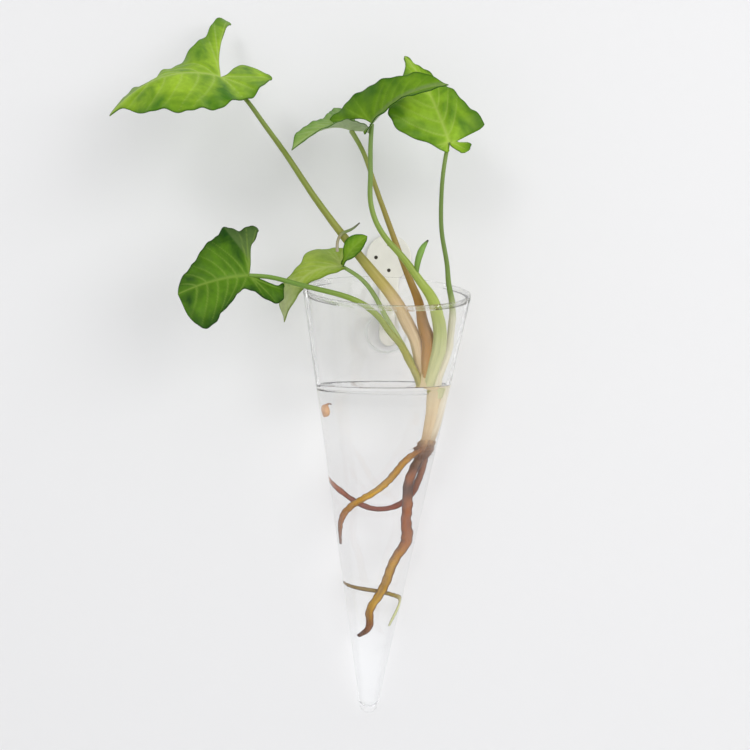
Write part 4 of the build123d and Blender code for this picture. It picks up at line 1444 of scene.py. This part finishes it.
def blade_marks(blade, s, out, inner, outer, length):
    """What each point carries: how near it is to a vein, its halo, the margin and the rim;
    and how far the sheet quilts up there."""
    gap, width = vein_distance(s, out, vein_lines(blade), length)
    on_rib = np.where(s >= 0, out * length, np.hypot(s, out) * length)
    rib_width = np.clip(1.5 - s, 0.35, 1.6)
    vein = np.maximum(fade(gap, vein_reach * width) * (0.45 + 0.45 * width),
                      fade(on_rib, rib_reach * rib_width))
    halo = np.maximum(fade(gap, halo_reach) * width, fade(on_rib, rib_halo_reach))
    quilt = 1 - np.maximum(fade(gap, quilt_reach), fade(on_rib, rib_quilt_reach))
    edge = np.clip(out / np.maximum(outer, 0.02)[:, None], 0, 1)
    to_edge = outer[:, None] - out
    to_edge = np.where(s < 0, np.minimum(to_edge, out - inner[:, None]), to_edge) * length
    marks = {"vein": vein, "halo": halo, "margin": edge**4, "rim": fade(to_edge, rim_width)}
    return marks, edge, quilt


def weld_blade(mesh, face_way):
    """Joins both halves along the midrib and turns the blade's upper side up."""
    work = bmesh.new()
    work.from_mesh(mesh)
    bmesh.ops.remove_doubles(work, verts=work.verts, dist=blade_weld)
    bmesh.ops.dissolve_degenerate(work, edges=work.edges, dist=blade_weld)
    up = Vector(face_way)
    if sum(1 if face.normal @ up > 0 else -1 for face in work.faces) < 0:
        bmesh.ops.reverse_faces(work, faces=work.faces)
    work.to_mesh(mesh)
    work.free()
    mesh.update()


def blade_mesh(name, base, length, heading, facing, arch_share, halves, waves, turned):
    """A whole leaf: both halves, welded along the midrib, with veins and wavy margins."""
    tip_way = unit(heading)
    face_way = unit(np.asarray(facing) - tip_way * (np.asarray(facing) @ tip_way))
    left_way = np.cross(face_way, tip_way)
    wave_height, wave_count, wave_phase = waves
    turned_way, by_along, by_out, turned_from, turned_over = turned
    blades = [HalfBlade(rows) for rows in halves]
    tip_end = max(blade.tip for blade in blades)
    points, faces, carried = [], [], []
    for way, blade in zip((1, -1), blades):
        s, out, inner, outer, angle = blade_half_grid(blade, tip_end, length)
        marks, edge, quilt = blade_marks(blade, s, out, inner, outer, length)
        turned_share = np.clip((by_along * s + by_out * out - turned_from) / turned_over, 0, 1)
        marks["turned"] = turned_share * (turned_way in (0, way))
        carried.append(marks)
        hump = np.where(s < 0, lobe_sweep_share * s, 4 * s * (1 - s))
        lift = arch_share * hump + out * np.sin(angle) - curl_share * out**2
        wave = np.sin(wave_count * 2 * pi * s + wave_phase + way)
        wave += 0.5 * np.sin(2.3 * wave_count * 2 * pi * s + 1.7 * wave_phase)
        lift_real = lift * length + quilt * quilt_height * (1 - edge**6)
        lift_real = lift_real + wave_height * mm * wave * edge**3 * np.clip((tip_end - s) * 6, 0, 1)
        place = (base + tip_way * (s * length)[..., None]
                 + left_way * (way * out * np.cos(angle) * length)[..., None]
                 + face_way * lift_real[..., None])
        start = sum(len(earlier) for earlier in points)
        points.append(place.reshape(-1, 3))
        quads = grid_faces(*s.shape)
        faces += ((quads if way < 0 else quads[:, ::-1]) + start).tolist()
    shares = {key: np.concatenate([marks[key].ravel() for marks in carried])
              for key in carried[0]}
    mesh = join_mesh(name, np.concatenate(points), faces, shares)
    weld_blade(mesh, face_way)
    return mesh


# %% [markdown]
# ## Leaf finish
# Light both bounces off a leaf and passes through it, so its finish mixes a satin surface
# with a translucent one. The upper face is green with pale veins, a lighter band beside each
# vein and a darker margin, and cell-sized grain breaks it up. The underside is paler and
# duller. Every leaf has its own greens: the young ones are light, the old ones deep.

# %% Leaf material
patch_scale, mottle_scale, cell_scale = 70.0, 480.0, 2600.0
leaf_sheen = 0.22
leaf_glow = 0.3
rim_dark = 0.45


def leaf_material(name, deep, light, vein_colour, turned_colour, roughness=0.42, veins=0.45,
                  halo=0.75, margin_dark=0.6):
    """A leaf face: deep and light green patches, pale veins, a darker margin and rim, and
    another colour where the leaf turns over."""
    material, tree, output = new_material(name)
    place = own_place(tree)

    def blend_where(attribute, most, colour, other):
        """Blends a colour with another where the mesh carries this number."""
        factor = maths(tree, "MULTIPLY", share_of(tree, attribute), most)
        return blend_colours(tree, factor, colour, other)

    patches = noise(tree, place, patch_scale, 3.0, 0.6)
    colour = colour_ramp(tree, patches, [(0.34, deep), (0.66, light)])
    colour = blend_where("halo", halo, colour, light)
    colour = blend_where("turned", 0.85, colour, turned_colour)
    mottle = noise(tree, place, mottle_scale, 3.0)
    spots = colour_ramp(tree, mottle, [(0.35, (0.86, 0.88, 0.8, 1)), (0.65, white)])
    colour = blend_colours(tree, 1.0, colour, spots, "MULTIPLY")
    colour = blend_where("margin", margin_dark, colour, deep)
    colour = blend_where("vein", veins, colour, vein_colour)
    rim_colour = tuple(part * rim_dark for part in deep[:3]) + (1.0,)
    colour = blend_where("rim", 0.7, colour, rim_colour)
    cells = noise(tree, place, cell_scale, 2.0)
    surface = add_node(tree, "ShaderNodeBsdfPrincipled", {
        "Base Color": colour, "Roughness": roughness, "Specular IOR Level": leaf_sheen,
        "Normal": bump(tree, cells, 0.06 * mm, 0.7),
    })
    through = add_node(tree, "ShaderNodeBsdfTranslucent", {"Color": colour})
    mixed = mix_shaders(tree, leaf_glow, surface, through)
    tree.links.new(mixed.outputs[0], output.inputs["Surface"])
    return material


# Each leaf: deep green, light green, veins, underside, and how much its margin waves
leaf_looks = {
    "leaf_top_left": ((78, 136, 4), (180, 218, 50), (206, 222, 134), (146, 178, 90),
                      (1.1, 3.0, 0.6)),
    "leaf_middle_back": ((100, 152, 54), (168, 198, 108), (200, 216, 160), (182, 200, 154),
                         (0.5, 2.5, 1.0)),
    "leaf_middle_front": ((56, 114, 0), (134, 180, 26), (156, 194, 66), (136, 162, 98),
                          (0.7, 2.2, 2.0)),
    "leaf_right": ((84, 138, 14), (170, 212, 50), (206, 224, 118), (130, 176, 60),
                   (0.9, 3.2, 0.2)),
    "leaf_low_left": ((30, 80, 2), (104, 152, 24), (170, 196, 90), (116, 142, 80),
                      (1.0, 2.8, 1.3)),
    "leaf_small": ((146, 178, 54), (182, 204, 84), (206, 218, 142), (214, 222, 174),
                   (0.5, 2.0, 0.5)),
    "leaf_small_lobe": ((74, 138, 16), (148, 192, 44), (170, 206, 82), (86, 130, 50),
                        (0.3, 1.5, 0.0)),
}
# Where a leaf has another tone, as where it turns over and shows its paler face: that tone,
# which half has it (0 is both), how fast it grows along and outwards, and the value where it
# starts and over which it grows
not_turned = (0, 0.0, 0.0, 1.0, 1.0)
turned_parts = {
    "leaf_low_left": ((112, 138, 76), (-1, -1.0, 0.36, 0.138, 0.03)),
    "leaf_middle_front": ((136, 162, 98), (0, 0.0, -1.0, -0.06, 0.04)),
    "leaf_small": ((214, 222, 174), (0, 1.0, 0.0, 0.52, 0.3)),
    "leaf_top_left": ((146, 178, 90), (-1, 1.0, 0.0, 0.45, 0.3)),
    "leaf_right": ((76, 120, 16), (-1, -0.1, 1.0, 0.17, 0.16)),
}
leaf_slots = {"leaf_middle_front": "leaf_dark_green", "leaf_low_left": "leaf_dark_green",
              "leaf_small_lobe": "leaf_dark_green", "leaf_small": "young_green"}
blade_thickness = 0.45 * mm

# %% Leaf shapes
leaf_lengths = {
    "leaf_top_left": 53.0,
    "leaf_middle_back": 36.0,
    "leaf_middle_front": 38.0,
    "leaf_right": 50.0,
    "leaf_low_left": 32.5,
    "leaf_small": 37.5,
    "leaf_small_lobe": 19.5,
}


def half_table(lobe, blade, folds):
    """One half of a blade: rows of its lobe behind the stalk (place along the midrib, inner
    and outer edge), rows of its blade (place and outer edge), and one fold angle or one each."""
    rows = lobe + [(along, 0.0, outer) for along, outer in blade]
    folds = folds if isinstance(folds, list) else [folds] * len(rows)
    return [(*row, fold) for row, fold in zip(rows, folds)]


# Each leaf: where its stalk meets it, where its tip and its face point, how much its midrib
# arches, and its two halves
leaf_shape_shares = {
    "leaf_top_left": (
        (-0.595, -0.05, 0.76), (-0.92, -0.19, -0.34), (-0.07, -0.79, 0.61), 0.2,
        half_table([(-0.43, -0.1, 0.02), (-0.36, -0.21, 0.1), (-0.27, -0.27, 0.2),
                    (-0.18, -0.2, 0.3), (-0.06, -0.04, 0.37)],
                   [(0.05, 0.43), (0.16, 0.52), (0.3, 0.55), (0.46, 0.52), (0.6, 0.43),
                    (0.74, 0.36), (0.84, 0.2), (0.93, 0.06), (1.0, 0.02)],
                   10),
        half_table([(-0.34, 0.84, 0.92), (-0.25, 0.67, 0.9), (-0.15, 0.46, 0.76),
                    (-0.05, 0.2, 0.62)],
                   [(0.05, 0.5), (0.16, 0.42), (0.3, 0.38), (0.46, 0.34), (0.62, 0.28),
                    (0.8, 0.18), (0.92, 0.09), (1.0, 0.02)],
                   [10, 10, 10, 8, 4, -8, -24, -32, -38, -36, -30, -20]),
    ),
    "leaf_middle_back": (
        (-0.13, 0.04, 0.583), (-0.73, -0.61, -0.31), (0.14, -0.57, 0.81), 0.15,
        half_table([(-0.24, 0.05, 0.12), (-0.15, 0.03, 0.22), (-0.05, 0.01, 0.29)],
                   [(0.1, 0.33), (0.3, 0.34), (0.5, 0.3), (0.7, 0.21), (0.88, 0.1), (1.0, 0.02)],
                   [30, 36, 40, 44, 46, 46, 44, 40, 40]),
        half_table([(-0.36, 0.36, 0.58), (-0.26, 0.2, 0.62), (-0.16, 0.1, 0.58),
                    (-0.05, 0.02, 0.5)],
                   [(0.1, 0.38), (0.3, 0.27), (0.5, 0.22), (0.7, 0.19), (0.88, 0.13), (1.0, 0.02)],
                   [14, 14, 14, 14, 10, 4, 0, 4, 10, 14]),
    ),
    "leaf_middle_front": (
        (-0.055, -0.125, 0.583), (0.88, -0.21, 0.43), (-0.42, -0.79, 0.45), 0.15,
        half_table([(-0.5, 0.43, 0.51), (-0.42, 0.38, 0.53), (-0.33, 0.33, 0.53),
                    (-0.24, 0.27, 0.53), (-0.15, 0.2, 0.53), (-0.07, 0.12, 0.52)],
                   [(0.05, 0.49), (0.2, 0.43), (0.38, 0.36), (0.56, 0.3), (0.74, 0.25),
                    (0.9, 0.15), (1.0, 0.02)],
                   14),
        half_table([(-0.12, 0.02, 0.1), (-0.05, 0.01, 0.18)],
                   [(0.04, 0.24), (0.2, 0.28), (0.4, 0.28), (0.6, 0.24), (0.8, 0.16), (1.0, 0.02)],
                   [30, 40, 46, 48, 48, 46, 40, 30]),
    ),
    "leaf_right": (
        (0.22, -0.065, 0.527), (-0.39, 0.36, 0.84), (0.15, -0.88, 0.45), 0.1,
        half_table([(-0.08, 0.03, 0.08), (-0.02, 0.01, 0.16)],
                   [(0.06, 0.28), (0.16, 0.4), (0.27, 0.48), (0.37, 0.49), (0.48, 0.42),
                    (0.62, 0.3), (0.76, 0.16), (0.88, 0.07), (1.0, 0.02)],
                   10),
        half_table([(-0.12, 0.06, 0.17), (-0.085, 0.03, 0.2), (-0.055, 0.01, 0.19),
                    (-0.032, 0, 0.13), (-0.014, 0, 0.08)],
                   [(0.0, 0.2), (0.014, 0.33), (0.04, 0.385), (0.09, 0.38), (0.16, 0.35),
                    (0.27, 0.3), (0.37, 0.25), (0.48, 0.2), (0.62, 0.14), (0.78, 0.07),
                    (0.9, 0.04), (1.0, 0.02)],
                   10),
    ),
    "leaf_low_left": (
        (-0.183, -0.11, 0.038), (-0.94, -0.25, -0.25), (0.11, -0.88, 0.46), 0.1,
        half_table([(-0.42, 0.22, 0.3), (-0.35, 0.25, 0.5), (-0.27, 0.2, 0.52),
                    (-0.17, 0.12, 0.48), (-0.06, 0.03, 0.4)],
                   [(0.04, 0.28), (0.14, 0.22), (0.26, 0.3), (0.4, 0.42), (0.56, 0.52),
                    (0.68, 0.65), (0.8, 0.68), (0.92, 0.6), (1.02, 0.38)],
                   10),
        half_table([(-0.34, 0.68, 0.76), (-0.26, 0.56, 0.81), (-0.17, 0.46, 0.8),
                    (-0.06, 0.14, 0.77)],
                   [(0.04, 0.81), (0.14, 0.83), (0.26, 0.72), (0.4, 0.62), (0.56, 0.52),
                    (0.68, 0.39), (0.8, 0.28), (0.92, 0.22), (1.02, 0.08)],
                   10),
    ),
    "leaf_small": (
        (0.145, 0.032, 0.074), (-0.735, -0.12, -0.665), (-0.33, -0.6, 0.72), 0.28,
        half_table([],
                   [(0.0, 0.1), (0.15, 0.16), (0.32, 0.15), (0.5, 0.13), (0.7, 0.1), (0.88, 0.06),
                    (1.0, 0.02)],
                   [0, 0, -10, -15, -15, -10, 0]),
        half_table([(-0.2, 0.34, 0.46), (-0.12, 0.18, 0.56), (-0.02, 0.04, 0.56)],
                   [(0.1, 0.52), (0.24, 0.41), (0.4, 0.27), (0.6, 0.21), (0.8, 0.22), (0.92, 0.18),
                    (1.0, 0.02)],
                   8),
    ),
    "leaf_small_lobe": (
        (0.145, 0.026, 0.077), (0.574, -0.47, 0.67), (-0.5, -0.8, 0.1), 0.14,
        *[half_table([],
                     [(0.0, 0.05), (0.12, 0.05), (0.24, 0.08), (0.34, 0.15), (0.46, 0.22),
                      (0.6, 0.26), (0.75, 0.26), (0.87, 0.22), (0.95, 0.15), (1.0, 0.09)],
                     25)] * 2,
    ),
}


# %% Grow the leaves
for name, (base_shares, heading, facing, arch_share, *halves) in leaf_shape_shares.items():
    base = above_rim(*base_shares) if name in over_the_rim else above_mouth(*base_shares)
    *colours, waves = leaf_looks[name]
    turned_colour, turned = turned_parts.get(name, (colours[-1], not_turned))
    deep, light, vein_colour, under = (paint(*colour) for colour in colours)
    upper = leaf_material(name + "_upper", deep, light, vein_colour, paint(*turned_colour))
    lower = leaf_material(name + "_under", under, under, vein_colour, under, roughness=0.5,
                          veins=0.5, halo=0.3, margin_dark=0.15)
    mesh = blade_mesh(name + "_blade", base, leaf_lengths[name] * mm, heading, facing,
                      arch_share, halves, waves, turned)
    blade = place_piece(mesh, "cutting", [name], leaf_slots.get(name, "leaf_green"), upper, lower)
    thick = blade.modifiers.new("thickness", "SOLIDIFY")
    thick.thickness = blade_thickness
    thick.offset = -1.0
    thick.material_offset = 1

# %% [markdown]
# ## The finished size
# The dressed model is meant to fill about the same box as the CAD model. Both boxes are
# printed before the scene is closed.

# %% Print the boxes and finish
dressed_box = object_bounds()
for label, corners in (("cad", cad_box), ("dressed", dressed_box)):
    print(label, [[round(float(part), 4) for part in corner] for corner in corners])
